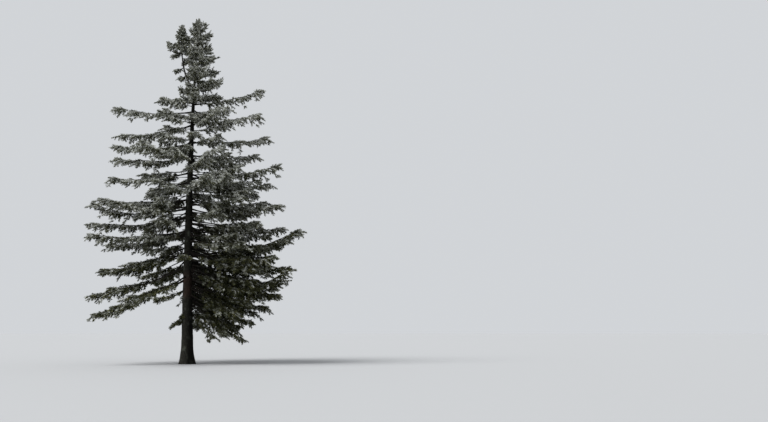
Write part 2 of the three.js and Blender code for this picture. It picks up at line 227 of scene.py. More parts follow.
@dataclass(frozen=True)
class BarkFinish:
    """Scaly bark: grey-brown plates with dark cracks, reddish flakes and pale algae or lichen, and painted
    light and shade from side to side where side tones are given.

    Scales are in features for each metre, bands and widths in metres, and tones multiply the colour.
    """

    name: str
    crack: Color
    plate: Color
    flake: Color
    flake_band: Range
    lichen: Color
    plate_scale: float
    bump: float
    lichen_share: float
    warp: float
    # painted light and shade: these tones lighten the stem's left side and darken its right, over this half
    # width, leaning as the stem does
    lit_and_shaded_side_tones: Range = (1.0, 1.0)
    half_width: float = 0.16
    lean: float = 0.024

    roughness: float = 0.92
    specular: float = 0.08
    plate_height: float = 0.55
    crack_width: float = 0.22
    crack_bump: float = 0.6
    plate_tones: Range = (0.62, 1.2)
    grain_scale: float = 2.6
    grain_detail: float = 10.0
    grain_bump: float = 0.7
    grain_tones: Range = (0.25, 1.8)
    flake_scale: float = 1.3
    flake_detail: float = 3.0
    flake_range: Range = (0.40, 0.56)
    flake_cover: float = 0.65
    band_fade: float = 0.5
    lichen_scale: float = 4.5
    lichen_detail: float = 8.0
    lichen_range: Range = (0.66, 0.82)
    lichen_cover: float = 0.6
    wander_scale: float = 0.9
    wander_detail: float = 4.0

    def material(self) -> bpy.types.Material:
        """Makes the bark material on Object coordinates.

        Returns:
            A new material whose colour and bump follow the same plates.
        """
        made = bpy.data.materials.new(self.name)
        made.use_nodes = True
        nodes = Nodes(made.node_tree)
        place = self._warped_place(nodes)
        cracks = nodes.cells(place, self.plate_scale, "DISTANCE_TO_EDGE", "Distance")
        plates = nodes.cells(place, self.plate_scale, "F1", "Color")
        grain = nodes.noise(place, self.plate_scale * self.grain_scale, self.grain_detail)
        edge = nodes.ramp(cracks, 0.0, self.crack_width)
        color = nodes.mix(edge, self.crack, self.plate)
        blotches = nodes.ramp(nodes.noise(place, self.flake_scale, self.flake_detail), *self.flake_range)
        color = nodes.mix(nodes.product(blotches, self._band(nodes)), color, self.flake, self.flake_cover)
        low, high = (limit - self.lichen_share for limit in self.lichen_range)
        patches = nodes.ramp(nodes.noise(place, self.lichen_scale, self.lichen_detail), low, high)
        color = nodes.mix(patches, color, self.lichen, self.lichen_cover)
        # the last layer is painted light on the left side and painted shade on the right
        layers = (plates, self.plate_tones), (grain, self.grain_tones), (self._lit_to_shaded_side(nodes), self.lit_and_shaded_side_tones)
        for factor, (first, second) in layers:
            tone = nodes.mix(factor, (first,) * 3, (second,) * 3)
            color = nodes.mix(1.0, color, tone, blend="MULTIPLY")
        coarse = nodes.bump(edge, self.crack_bump, self.bump, {})
        fine = nodes.bump(grain, self.grain_bump, self.bump / 2, {"Normal": coarse})
        inputs = made.node_tree.nodes["Principled BSDF"].inputs
        inputs["Roughness"].default_value = self.roughness
        inputs["Specular IOR Level"].default_value = self.specular
        made.node_tree.links.new(color, inputs["Base Color"])
        made.node_tree.links.new(fine, inputs["Normal"])
        return made

    def _warped_place(self, nodes: Nodes) -> Socket:
        """Object coordinates that make the plates tall and no two alike.

        Args:
            nodes: The material's nodes.

        Returns:
            The place's socket.
        """
        upright = {"Scale": (1.0, 1.0, self.plate_height), "Vector": nodes.place()}
        place = nodes.add("Mapping", "Vector", upright)
        wander = nodes.noise(place, self.plate_scale * self.wander_scale, self.wander_detail, "Color")
        inputs = {0: wander, 1: (self.warp,) * 3, 2: place}
        return nodes.add("VectorMath", "Vector", inputs, operation="MULTIPLY_ADD")

    def _lit_to_shaded_side(self, nodes: Nodes) -> Socket:
        """A value from 0 on the lit left to 1 on the shaded right, for painted light and shade; it leans as
        the trunk does.

        Args:
            nodes: The material's nodes.

        Returns:
            The value's socket.
        """
        inputs = {0: nodes.place(), 1: (1.0, 0.0, self.lean)}
        across = nodes.add("VectorMath", "Value", inputs, operation="DOT_PRODUCT")
        return nodes.ramp(across, -self.half_width, self.half_width)

    def _band(self, nodes: Nodes) -> Socket:
        """A value of 1 at the heights where flakes gather, which fades out above and below.

        Args:
            nodes: The material's nodes.

        Returns:
            The value's socket.
        """
        low, high = self.flake_band
        height = nodes.add("SeparateXYZ", "Z", {"Vector": nodes.place()})
        above = nodes.ramp(height, low - self.band_fade, low)
        return nodes.product(above, nodes.ramp(height, high + self.band_fade, high))


TRUNK_BARK = BarkFinish(
    name="trunk_bark",
    crack=(0.010, 0.009, 0.008),
    plate=(0.028, 0.0275, 0.022),
    flake=(0.066, 0.036, 0.028),
    flake_band=(3.6, 4.1),
    lichen=(0.100, 0.107, 0.085),
    plate_scale=24.0,
    bump=0.012,
    lichen_share=0.10,
    warp=0.055,
    # painted light on the trunk's left side, painted shade on its right
    lit_and_shaded_side_tones=(1.7, 0.4),
)
LIMB_BARK = BarkFinish(
    name="limb_bark",
    crack=(0.010, 0.009, 0.008),
    plate=(0.018, 0.0165, 0.015),
    flake=(0.026, 0.020, 0.017),
    flake_band=(0.0, 18.0),
    lichen=(0.055, 0.060, 0.050),
    plate_scale=48.0,
    bump=0.005,
    lichen_share=0.14,
    warp=0.03,
)


def level(bearing: Numbers) -> Array:
    """Level unit vectors on some bearings, one row each."""
    turn = np.radians(np.asarray(bearing, float))
    return np.stack([np.cos(turn), np.sin(turn), np.zeros_like(turn)], axis=-1)


def unit(vectors: Array) -> Array:
    """The same vectors at length 1."""
    return vectors / np.linalg.norm(vectors, axis=-1, keepdims=True)


def smooth(value: Numbers, low: float, high: float) -> Numbers:
    """A smooth step that is 0 up to low and 1 from high on."""
    t = np.clip((value - low) / (high - low), 0.0, 1.0)
    return t * t * (3.0 - 2.0 * t)


def between(ends: Range, share: Numbers) -> Numbers:
    """A value at a share of the way from one end to the other."""
    return ends[0] + (ends[1] - ends[0]) * share


def off(bearing: float, other: float, turn: float = 360.0) -> float:
    """How far two bearings are apart, where a bearing counts again after each turn."""
    return abs((bearing - other + turn / 2) % turn - turn / 2)


def bezier(start: Array, middle: Array, end: Array, share: Array) -> Array:
    """Points on a quadratic Bezier curve at some shares, one row each."""
    t = np.asarray(share, float)[:, None]
    return (1 - t) ** 2 * start + 2 * t * (1 - t) * middle + t**2 * end


def frames(along: Array, roll: Array) -> Array:
    """Turning matrices whose third column points along a direction and whose second points up.

    Args:
        along: Unit vectors, one row each.
        roll: Turns about those that follow, in radians.

    Returns:
        Matrices of shape (n, 3, 3) that turn a shape drawn along +Z.
    """
    side = np.cross(UP, along)
    upright = np.linalg.norm(side, axis=1) < 1e-3
    side[upright] = (1.0, 0.0, 0.0)
    side = unit(side)
    up = np.cross(along, side)
    cos, sin = np.cos(roll)[:, None], np.sin(roll)[:, None]
    return np.stack([side * cos + up * sin, up * cos - side * sin, along], axis=2)


@dataclass
class Shape:
    """Vertices and triangles as arrays."""

    vertices: Array
    triangles: Indices

    @staticmethod
    def joined(shapes: "list[Shape]") -> "Shape":
        """Joins shapes.

        Args:
            shapes: The shapes.

        Returns:
            All of them as one, in their order.
        """
        starts = np.cumsum([0] + [len(shape.vertices) for shape in shapes])
        triangles = [shape.triangles + start for shape, start in zip(shapes, starts)]
        return Shape(np.concatenate([shape.vertices for shape in shapes]), np.concatenate(triangles))

    def copies(self, turns: Array, places: Array) -> "Shape":
        """Copies of this shape.

        Args:
            turns: Matrices that turn and scale it, of shape (n, 3, 3).
            places: Where its origin goes, of shape (n, 3).

        Returns:
            All the copies as one shape.
        """
        vertices = np.einsum("nij,vj->nvi", turns, self.vertices) + places[:, None, :]
        starts = np.arange(len(places)) * len(self.vertices)
        triangles = self.triangles[None, :, :] + starts[:, None, None]
        return Shape(vertices.reshape(-1, 3), triangles.reshape(-1, 3))

    def piece(self, name: str) -> bpy.types.Object:
        """Makes a Blender object of this shape, with flat faces.

        Args:
            name: The piece's name.

        Returns:
            The linked object.
        """
        mesh = bpy.data.meshes.new(name)
        mesh.vertices.add(len(self.vertices))
        mesh.vertices.foreach_set("co", self.vertices.astype(np.float32).ravel())
        mesh.loops.add(self.triangles.size)
        mesh.loops.foreach_set("vertex_index", self.triangles.astype(np.int32).ravel())
        mesh.polygons.add(len(self.triangles))
        mesh.polygons.foreach_set("loop_start", np.arange(0, self.triangles.size, 3, dtype=np.int32))
        mesh.update(calc_edges=True)
        mesh.shade_flat()
        made = bpy.data.objects.new(name, mesh)
        bpy.context.scene.collection.objects.link(made)
        return made


def tubes(points: Array, radii: Array, sides: int, reference: Array = UP) -> Shape:
    """Closed tubes along polylines.

    Args:
        points: The middles of their rings, of shape (tubes, rings, 3).
        radii: The radius at each ring, of shape (tubes, rings) or (tubes, rings, sides).
        sides: The number of sides.
        reference: A direction that no tube runs along.

    Returns:
        All the tubes as one shape, with a flat cap at each end.
    """
    many, rings = points.shape[:2]
    along = unit(np.gradient(points, axis=1))
    side = unit(np.cross(reference, along))
    up = np.cross(along, side)
    turn = np.arange(sides) * 2.0 * math.pi / sides
    spokes = side[:, :, None, :] * np.cos(turn)[:, None] + up[:, :, None, :] * np.sin(turn)[:, None]
    reach = radii if radii.ndim == 3 else radii[:, :, None]
    vertices = (points[:, :, None, :] + spokes * reach[..., None]).reshape(-1, 3)
    here = np.arange(sides)
    there = (here + 1) % sides
    wall = np.concatenate([
        np.stack([here, there, there + sides], axis=1),
        np.stack([here, there + sides, here + sides], axis=1),
    ])
    wall = (wall[None] + (np.arange(rings - 1) * sides)[:, None, None]).reshape(-1, 3)
    fan = np.stack([np.zeros(sides - 2, int), np.arange(1, sides - 1), np.arange(2, sides)], axis=1)
    one = np.concatenate([wall, fan[:, ::-1], fan + (rings - 1) * sides])
    starts = np.arange(many) * rings * sides
    return Shape(vertices, (one[None] + starts[:, None, None]).reshape(-1, 3))


def dress(piece: bpy.types.Object, material: bpy.types.Material, nodes: list[str]) -> None:
    """Gives a finished piece its material and its place in the frame.

    Args:
        piece: The finished piece.
        material: Its material.
        nodes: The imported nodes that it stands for.
    """
    piece.data.materials.clear()
    piece.data.materials.append(material)
    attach(piece, BODY)
    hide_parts(*nodes)
    log.info("%s: %d faces, stands for %d nodes", piece.name, len(piece.data.polygons), len(nodes))


def read_places(piece: bpy.types.Object) -> Array:
    """The places of a piece's vertices.

    Args:
        piece: The piece.

    Returns:
        The places, one row each.
    """
    places = np.empty(len(piece.data.vertices) * 3)
    piece.data.vertices.foreach_get("co", places)
    return places.reshape(-1, 3)


def write_places(piece: bpy.types.Object, places: Array) -> None:
    """Moves a piece's vertices to some places."""
    piece.data.vertices.foreach_set("co", places.ravel())
    piece.data.update()


@dataclass
class Relief:
    """Bark in relief: broad lumps, and plates between cracks."""

    lump_size: float
    lump_height: float
    plate_size: float
    plate_height: float

    def raise_on(self, piece: bpy.types.Object, finer: int) -> None:
        """Raises the relief on a piece.

        Args:
            piece: The piece, whose mesh it changes.
            finer: How many times its faces are subdivided first.
        """
        bpy.ops.object.select_all(action="DESELECT")
        bpy.context.view_layer.objects.active = piece
        piece.select_set(True)
        if finer:
            dividing = piece.modifiers.new("finer", "SUBSURF")
            dividing.subdivision_type = "SIMPLE"
            dividing.levels = dividing.render_levels = finer
        lumps = bpy.data.textures.new("lumps", "CLOUDS")
        lumps.noise_scale = self.lump_size
        plates = bpy.data.textures.new("plates", "VORONOI")
        plates.noise_scale = self.plate_size
        plates.weight_1, plates.weight_2 = -1.0, 1.0
        for texture, height in ((lumps, self.lump_height), (plates, self.plate_height)):
            raised = piece.modifiers.new(texture.name, "DISPLACE")
            raised.texture = texture
            raised.texture_coords = "LOCAL"
            raised.strength = height
            raised.mid_level = 0.5
        for modifier in list(piece.modifiers):
            bpy.ops.object.modifier_apply(modifier=modifier.name)
        piece.data.shade_smooth()


@dataclass
class Stem:
    """A standing stem, drawn up from a circle ring by ring, with scaly bark and a tip of needles."""

    name: str
    foot: float
    top: float
    sides: int
    rings: int
    finer: int
    relief: Relief
    tip_height: float
    tip_foot_radius: float
    crowding: float = 0.35

    def axis(self, height: Array) -> Array:
        """The middle of the stem at some heights, one row each."""
        raise NotImplementedError

    def radius(self, height: Array) -> Array:
        """The stem's radius at some heights."""
        raise NotImplementedError

    def build(self) -> bpy.types.Object:
        """Models the stem from a circle, ring by ring, and raises its bark.

        Returns:
            The stem's piece.
        """
        share = np.linspace(0.0, 1.0, self.rings + 1)
        climb = self.crowding * share**2 + (1.0 - self.crowding) * share
        heights = self.foot + (self.top - self.foot) * climb
        middles = self.axis(heights)
        radii = self.radius(heights)
        bpy.ops.object.select_all(action="DESELECT")
        bpy.ops.mesh.primitive_circle_add(vertices=self.sides, radius=float(radii[0]), fill_type="NGON")
        piece = bpy.context.object
        piece.name = piece.data.name = self.name
        bpy.ops.object.mode_set(mode="EDIT")
        bpy.ops.mesh.select_all(action="SELECT")
        bpy.ops.transform.translate(value=tuple(middles[0]))
        for low, high in zip(range(self.rings), range(1, self.rings + 1)):
            step = tuple(middles[high] - middles[low])
            bpy.ops.mesh.extrude_region_move(TRANSFORM_OT_translate={"value": step})
            ratio = float(radii[high] / radii[low])
            bpy.ops.transform.resize(value=(ratio, ratio, 1.0), center_override=tuple(middles[high]))
        bpy.ops.mesh.select_all(action="SELECT")
        bpy.ops.mesh.normals_make_consistent(inside=False)
        bpy.ops.object.mode_set(mode="OBJECT")
        self._shape_foot(piece)
        self.relief.raise_on(piece, self.finer)
        self._level_cut(piece)
        return piece

    def _shape_foot(self, piece: bpy.types.Object) -> None:
        """Leaves the foot round. A stem with a flare shapes it here."""

    def _level_cut(self, piece: bpy.types.Object) -> None:
        """Brings what the relief pushed below the ground back up to it.

        Args:
            piece: The stem's piece.
        """
        places = read_places(piece)
        places[:, 2] = np.maximum(places[:, 2], 0.0)
        write_places(piece, places)


@dataclass
class Trunk(Stem):
    """The trunk: a bowed taper with a lobed flare at its foot."""

    name: str = "trunk_bark"
    foot: float = 0.0
    top: float = 16.9
    sides: int = 26
    rings: int = 84
    finer: int = 2
    relief: Relief = field(default_factory=lambda: Relief(0.5, 0.03, 0.075, 0.022))
    tip_height: float = 17.98
    tip_foot_radius: float = 0.028
    foot_radius: float = 0.300
    taper_height: float = 18.4
    taper_power: float = 0.95
    flare: float = 0.110
    flare_height: float = 0.42
    flare_lobes: int = 5
    lobe_depth: float = 0.45
    bow: float = 0.240
    bow_length: float = 21.5

    def axis(self, height: Array) -> Array:
        """The middle of the trunk at some heights, one row each."""
        x = -self.bow * np.sin(math.pi * np.asarray(height, float) / self.bow_length)
        return np.stack([x, np.zeros_like(x), np.asarray(height, float)], axis=-1)

    def radius(self, height: Array) -> Array:
        """The trunk's radius at some heights, without the lobes of its flare."""
        stem = self.foot_radius * (1.0 - height / self.taper_height) ** self.taper_power
        return stem + self.flare * np.exp(-height / self.flare_height)

    def _shape_foot(self, piece: bpy.types.Object) -> None:
        """Draws the lobes of the flare out, and the hollows between them in.

        Args:
            piece: The trunk's piece.
        """
        places = read_places(piece)
        middle = self.axis(places[:, 2])
        spoke = places - middle
        turn = np.arctan2(spoke[:, 1], spoke[:, 0])
        lobe = self.flare * self.lobe_depth * np.exp(-places[:, 2] / self.flare_height)
        grown = 1.0 + lobe * np.cos(self.flare_lobes * turn) / self.radius(places[:, 2])
        write_places(piece, middle + spoke * grown[:, None])


@dataclass
class SecondLeader(Stem):
    """The second leader: out from the trunk near the top, then up beside it."""

    trunk: Trunk = field(default_factory=Trunk)
    name: str = "second_leader_bark"
    foot: float = 13.95
    top: float = 16.9
    sides: int = 14
    rings: int = 30
    finer: int = 1
    relief: Relief = field(default_factory=lambda: Relief(0.2, 0.01, 0.03, 0.006))
    tip_height: float = 17.62
    tip_foot_radius: float = 0.017
    spread: float = 0.76
    elbow: float = 0.3
    radii: Range = (0.06, 0.021)

    def axis(self, height: Array) -> Array:
        """The middle of the leader.

        Args:
            height: Heights, or one height.

        Returns:
            The points at those heights, one row each.
        """
        root = self.trunk.axis(self.foot)
        tip = root + np.array([-self.spread, 0.0, self.top - self.foot])
        elbow = np.array([tip[0], 0.0, root[2] + (self.top - self.foot) * self.elbow])
        share = np.linspace(0.0, 1.0, 400)
        at = np.interp(height, bezier(root, elbow, tip, share)[:, 2], share)
        return bezier(root, elbow, tip, np.atleast_1d(at)).reshape(np.shape(at) + (3,))

    def radius(self, height: Array) -> Array:
        """The leader's radius at some heights."""
        return np.interp(height, [self.foot, self.top], self.radii)


@dataclass(frozen=True)
class Dressing:
    """How the boughs of one habit carry their twigs and branchlets.

    A share of the branchlets hangs. Lifts are in degrees, the fan's share widens the branchlets on the
    bough's own axis, and painted shade darkens those, as if the bough shaded its own axis.
    """

    twig_spacing: float
    full_from: float
    hanging: float
    lift: float
    end_lift: float
    axis_hanging: float
    axis_fan: float
    axis_rise: float
    # painted shade that darkens the branchlets on the bough's own axis
    axis_painted_shade: float


class Habit(Enum):
    """How a bough is dressed: the older ones hang, those of the narrow top reach up and out."""

    HANGING = Dressing(0.15, 0.36, 0.52, 0.0, 6.0, 0.42, 0.6, 0.55, 0.34)
    UPRIGHT = Dressing(0.1, 0.2, 0.15, 28.0, 18.0, 0.2, 1.0, 1.0, 0.0)


@dataclass(frozen=True)
class Bough:
    """One bough: the height where it leaves its stem, its bearing, reach, rise and bare share."""

    height: float
    bearing: float
    reach: float
    rise: float
    bare: float
    habit: Habit = Habit.HANGING
    sweep: float = 0.19
    upturn: float = 0.0

    def limb_share(self) -> float:
        """The share of the reach where the limb ends and its last branchlets take over."""
        return 1.0 - min(0.27, 0.28 * self.reach) / self.reach


def short(height: float, bearing: float, reach: float, rise: float, bare: float) -> Bough:
    """A short bough, which sweeps down and up less than a long one."""
    return Bough(height, bearing, reach, rise, bare, sweep=0.1)


# The boughs as surveyed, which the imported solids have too
SURVEY = [
    Bough(2.4, 200, 0.9, -0.65, 0.24),
    Bough(3.1, 352, 3.1, -2.0, 0.3),
    Bough(3.8, 18, 4.2, -1.0, 0.25),
    Bough(4.2, 205, 4.6, -1.9, 0.4),
    Bough(4.5, 350, 5.55, -1.2, 0.25, upturn=1.4),
    Bough(4.8, 187, 4.8, -1.5, 0.44),
    Bough(5.5, 168, 5.0, -0.8, 0.26),
    Bough(5.4, 4, 5.8, 1.1, 0.26, upturn=0.3),
    Bough(6.6, 203, 4.9, -0.4, 0.24),
    Bough(7.0, 21, 5.1, 0.0, 0.14),
    Bough(7.3, 180, 5.1, -0.3, 0.3),
    Bough(8.0, 356, 4.9, -0.1, 0.16),
    Bough(8.2, 194, 4.5, -0.1, 0.2),
    Bough(8.9, 24, 4.4, 0.5, 0.16),
    Bough(9.6, 204, 4.0, -0.6, 0.16),
    Bough(9.3, 1, 4.8, 0.8, 0.3),
    Bough(10.4, 178, 4.1, 0.0, 0.2),
    Bough(10.5, 29, 3.8, 0.5, 0.14),
    Bough(11.1, 200, 3.9, -0.4, 0.24),
    Bough(11.2, 5, 4.1, 0.4, 0.2),
    Bough(12.1, 174, 4.0, -0.4, 0.18),
    Bough(12.3, 352, 3.8, 0.3, 0.14),
    Bough(12.8, 193, 4.0, 0.0, 0.42),
    Bough(13.2, 11, 3.7, 1.1, 0.16),
    Bough(13.5, 188, 1.8, 0.0, 0.14),
]

# Boughs that reach towards the camera and cross the trunk
FRONT = [
    short(5.6, 279, 2.2, -0.5, 0.5),
    short(9.85, 289, 1.7, -0.25, 0.3),
    short(10.85, 278, 1.7, -0.2, 0.3),
    short(11.5, 291, 1.9, -0.2, 0.3),
    short(12.4, 281, 1.2, 0.0, 0.2),
    short(13.35, 288, 1.5, 0.1, 0.1),
]

# Drooping twigs beside the lowest one
LOWEST = [
    Bough(2.62, 200, 0.62, -0.75, 0.05),
    Bough(2.55, 185, 0.42, -0.75, 0.05),
    Bough(2.7, 215, 0.36, -0.55, 0.05),
]

# Boughs on the left: some thicken the drooping ones, and the last two show between surveyed ones
LEFT = [
    Bough(4.2, 212, 3.8, -1.55, 0.45),
    Bough(4.85, 180, 4.1, -1.2, 0.5),
    Bough(5.4, 176, 4.2, -0.75, 0.35),
    Bough(3.7, 198, 1.7, -0.6, 0.12),
    Bough(7.75, 186, 5.0, -0.2, 0.4, upturn=0.4),
    Bough(6.45, 186, 4.1, -0.6, 0.4),
]

# Short boughs that fill the crown near the trunk, higher up
INNER = [
    short(13.1, 222, 1.9, 0.1, 0.15),
    short(12.5, 238, 2.1, 0.0, 0.2),
    short(11.9, 218, 1.6, -0.1, 0.2),
    short(11.3, 242, 2.2, -0.1, 0.2),
    short(10.4, 238, 2.3, -0.2, 0.25),
    short(12.6, 330, 2.0, 0.2, 0.2),
    short(11.8, 344, 2.2, 0.2, 0.25),
    short(11.1, 324, 2.3, 0.2, 0.25),
    short(10.3, 336, 2.6, 0.1, 0.25),
]

# Boughs that thicken the crown round the two longest on the right
RIGHT = [
    Bough(4.25, 355, 4.9, -0.9, 0.3),
    Bough(4.6, 20, 4.7, -0.5, 0.25),
    Bough(4.9, 5, 5.0, -0.1, 0.3),
    Bough(5.15, 344, 4.9, 0.1, 0.3),
    Bough(6.1, 12, 4.8, 0.0, 0.25),
    Bough(5.3, 12, 5.3, 0.95, 0.35, upturn=0.25),
    Bough(4.3, 357, 5.0, -1.5, 0.35, upturn=1.3),
]

# On the second leader: the tuft on its left, twigs low on it, and those that join it to the trunk's
TUFT = [
    short(16.45, 181, 0.9, 0.16, 0.2),
    short(16.3, 202, 0.8, 0.0, 0.2),
    short(16.05, 172, 0.62, -0.2, 0.2),
    short(15.2, 165, 0.55, -0.1, 0.4),
    short(14.75, 172, 0.4, -0.12, 0.3),
    short(14.9, 40, 0.7, 0.2, 0.1),
    short(15.6, 75, 0.6, 0.2, 0.1),
    short(16.1, 350, 0.55, -0.1, 0.1),
    short(16.35, 20, 0.5, 0.0, 0.1),
    short(15.7, 5, 0.5, 0.0, 0.1),
    short(16.6, 12, 0.5, 0.1, 0.1),
    short(16.75, 345, 0.42, 0.12, 0.1),
]


@dataclass(frozen=True)
class Profile:
    """A measure that changes with height: its values at some heights, straight between them."""

    heights: tuple[float, ...]
    values: tuple[float, ...]

    def at(self, height: float) -> float:
        """The measure at a height."""
        return float(np.interp(height, self.heights, self.values))


# The outline, for boughs that are set out by rule
CROWN_HEIGHTS = (2.0, 5.5, 8.0, 11.0, 13.0, 14.0)
CROWN_REACH = Profile(CROWN_HEIGHTS, (3.4, 5.0, 4.6, 3.9, 3.0, 1.7))
CROWN_RISE = Profile(CROWN_HEIGHTS, (-1.9, -0.5, 0.2, 0.4, 0.5, 0.5))
CROWN_RISE_LEFT = Profile(CROWN_HEIGHTS, (-1.9, -1.2, -0.2, 0.0, 0.0, 0.2))
TOP_HEIGHTS = (13.4, 14.2, 15.0, 16.0, 17.3)
TOP_REACH = Profile(TOP_HEIGHTS, (1.8, 1.6, 1.25, 1.0, 0.72))
TOP_REACH_LEFT = Profile(TOP_HEIGHTS, (1.3, 0.52, 0.45, 0.52, 0.34))
TOP_STEEPNESS = Profile(TOP_HEIGHTS, (0.2, 0.25, 0.3, 0.4, 0.75))


@dataclass
class Layout:
    """Where the boughs stand: those listed one by one, and those that follow the outline by rule.

    Shares are of the outline's reach, and a sector is how far it goes to each side of its bearing.
    """

    trunk: Trunk
    leader: SecondLeader
    rng: np.random.Generator
    side_right: float = 14.6
    camera_side: float = 284.5
    reach_chance: Range = (0.8, 1.05)
    rise_chance: Range = (0.7, 1.3)
    rule_sweep: Range = (0.04, 0.2)

    depth_heights: Range = (3.5, 13.0)
    depth_count: int = 12
    depth_bearings: tuple[float, ...] = (58, 246, 128, 318, 92, 228, 296)
    depth_bare: float = 0.18
    depth_share: float = 0.95

    fill_heights: Range = (3.0, 13.3)
    fill_count: int = 150
    fill_crowding: float = 1.15
    fill_turn: float = 40.0
    fill_bare: Range = (0.22, 0.52)
    fill_chance: Range = (0.83, 0.96)

    open_sectors: Range = (42.0, 15.0)
    open_change: float = 6.3
    open_top: float = 11.5
    right_top: float = 9.4
    right_share: float = 0.95
    left_foot: float = 5.2
    thinning: float = 0.84
    thinning_heights: Range = (9.0, 11.0)
    high_foot: float = 12.4
    high_share: float = 0.5
    side_sector: float = 30.0
    side_share: float = 0.54
    near_sector: float = 75.0
    near_share: float = 0.6
    far_share: float = 0.84

    skirt_heights: Range = (2.9, 5.6)
    skirt_count: int = 30
    skirt_from: float = -46.0
    skirt_width: float = 124.0
    skirt_reach: Range = (2.5, 4.5)
    skirt_rise: Range = (-1.75, -0.85)
    skirt_bare: Range = (0.36, 0.2)
    skirt_sweep: float = 0.12

    top_heights: Range = (13.4, 17.25)
    top_count: int = 42
    top_bare: float = 0.1
    top_left: float = 195.0
    top_left_sectors: Range = (95.0, 65.0)
    top_left_change: float = 15.4

    leader_heights: Range = (16.0, 17.1)
    leader_count: int = 12
    leader_turn: float = 150.0
    leader_reach: Range = (0.5, 0.22)
    leader_steepness: Range = (0.25, 0.75)
    leader_gap_foot: float = 16.85
    leader_gap_sector: float = 50.0
    leader_gap_share: float = 0.5

    def boughs(self) -> list[tuple[Bough, Array]]:
        """Every bough with its root on its stem.

        Returns:
            Pairs of a bough and the point where its axis starts.
        """
        made = SURVEY + FRONT + LOWEST + LEFT + INNER + RIGHT
        for i in range(self.depth_count):
            height = between(self.depth_heights, i / (self.depth_count - 1))
            bearing = self.depth_bearings[i % len(self.depth_bearings)]
            made.append(self._by_outline(height, bearing, self.depth_share, self.depth_bare))
        made += self._fill_boughs() + self._skirt_boughs() + self._top_boughs()
        placed = [(bough, self.trunk.axis(bough.height)) for bough in made]
        return placed + [(bough, self.leader.axis(bough.height)) for bough in TUFT + self._leader_boughs()]

    def _by_outline(self, height: float, bearing: float, share: float, bare: float) -> Bough:
        """A bough whose reach and rise follow the outline at its height.

        Args:
            height: Where it leaves the trunk.
            bearing: Its bearing.
            share: Its reach as a share of the outline's.
            bare: The share of it that carries no twigs.

        Returns:
            The bough.
        """
        right = 0.5 + 0.5 * math.cos(math.radians(bearing - self.side_right))
        rise = CROWN_RISE.at(height) * right + CROWN_RISE_LEFT.at(height) * (1.0 - right)
        reach = CROWN_REACH.at(height) * share
        sweep = self.rng.uniform(*self.rule_sweep)
        return Bough(height, bearing, reach, rise * share, bare, sweep=sweep)

    def _fill_boughs(self) -> list[Bough]:
        """The boughs between the surveyed ones, in a spiral that leaves open where sky shows.

        Returns:
            The boughs, from the lowest up.
        """
        made = []
        for i in range(self.fill_count):
            height = between(self.fill_heights, (i / (self.fill_count - 1)) ** self.fill_crowding)
            bearing = (i * GOLDEN_TURN + self.fill_turn) % 360.0
            share = self._room(height, bearing)
            if share > 0.0:
                share *= self.rng.uniform(*self.fill_chance)
                made.append(self._by_outline(height, bearing, share, self.rng.uniform(*self.fill_bare)))
        return made

    def _room(self, height: float, bearing: float) -> float:
        """The share of the outline's reach that a bough between the surveyed ones may take.

        Args:
            height: Where it leaves the trunk.
            bearing: Its bearing.

        Returns:
            That share, or 0 where the sky or the trunk has to stay in view.
        """
        off_camera = off(bearing, self.camera_side)
        open_sector = self.open_sectors[0 if height < self.open_change else 1]
        if off_camera < open_sector and height < self.open_top:
            return 0.0
        if off(bearing, self.side_right) < 90.0 and height < self.right_top:
            return self.right_share
        if height < self.left_foot:
            return 0.0
        if self.rng.random() < smooth(height, *self.thinning_heights) * self.thinning:
            return 0.0
        if height > self.high_foot:
            return self.high_share
        if off(bearing, self.side_right, 180.0) < self.side_sector:
            return self.side_share
        near = off_camera < self.near_sector and height < self.right_top
        return self.near_share if near else self.far_share

    def _skirt_boughs(self) -> list[Bough]:
        """The hanging boughs that close the crown low on the right.

        Returns:
            The boughs, from the lowest up.
        """
        made = []
        for i in range(self.skirt_count):
            share = i / (self.skirt_count - 1)
            bearing = self.side_right + self.skirt_from + (i * GOLDEN_TURN) % self.skirt_width
            reach = between(self.skirt_reach, share) * self.rng.uniform(*self.reach_chance)
            height, rise = between(self.skirt_heights, share), between(self.skirt_rise, share)
            bare = between(self.skirt_bare, share)
            made.append(Bough(height, bearing % 360.0, reach, rise, bare, sweep=self.skirt_sweep))
        return made

    def _upright(self, height: float, bearing: float, reach: float, steepness: float) -> Bough:
        """A short upright bough, longer or shorter and steeper or flatter by chance.

        Args:
            height: Where it leaves its stem.
            bearing: Its bearing.
            reach: Its usual reach.
            steepness: How far it usually rises for its reach.

        Returns:
            The bough.
        """
        reach = reach * self.rng.uniform(*self.reach_chance)
        rise = reach * steepness * self.rng.uniform(*self.rise_chance)
        return Bough(height, bearing, reach, rise, self.top_bare, Habit.UPRIGHT)

    def _top_boughs(self) -> list[Bough]:
        """The short boughs round the trunk in the narrow top.

        Returns:
            The boughs, from the lowest up.
        """
        made = []
        for i in range(self.top_count):
            height = between(self.top_heights, i / (self.top_count - 1))
            bearing = (i * GOLDEN_TURN) % 360.0
            reach = TOP_REACH.at(height)
            sector = self.top_left_sectors[0 if height < self.top_left_change else 1]
            if off(bearing, self.top_left) < sector:
                reach = min(reach, TOP_REACH_LEFT.at(height))
            made.append(self._upright(height, bearing, reach, TOP_STEEPNESS.at(height)))
        return made

    def _leader_boughs(self) -> list[Bough]:
        """The short boughs round the second leader, shorter towards the trunk's tip.

        Returns:
            The boughs, from the lowest up.
        """
        made = []
        for i in range(self.leader_count):
            share = i / (self.leader_count - 1)
            height = between(self.leader_heights, share)
            bearing = (self.leader_turn + i * GOLDEN_TURN) % 360.0
            reach = between(self.leader_reach, share)
            if off(bearing, 0.0) < self.leader_gap_sector and height > self.leader_gap_foot:
                reach *= self.leader_gap_share
            made.append(self._upright(height, bearing, reach, between(self.leader_steepness, share)))
        return made


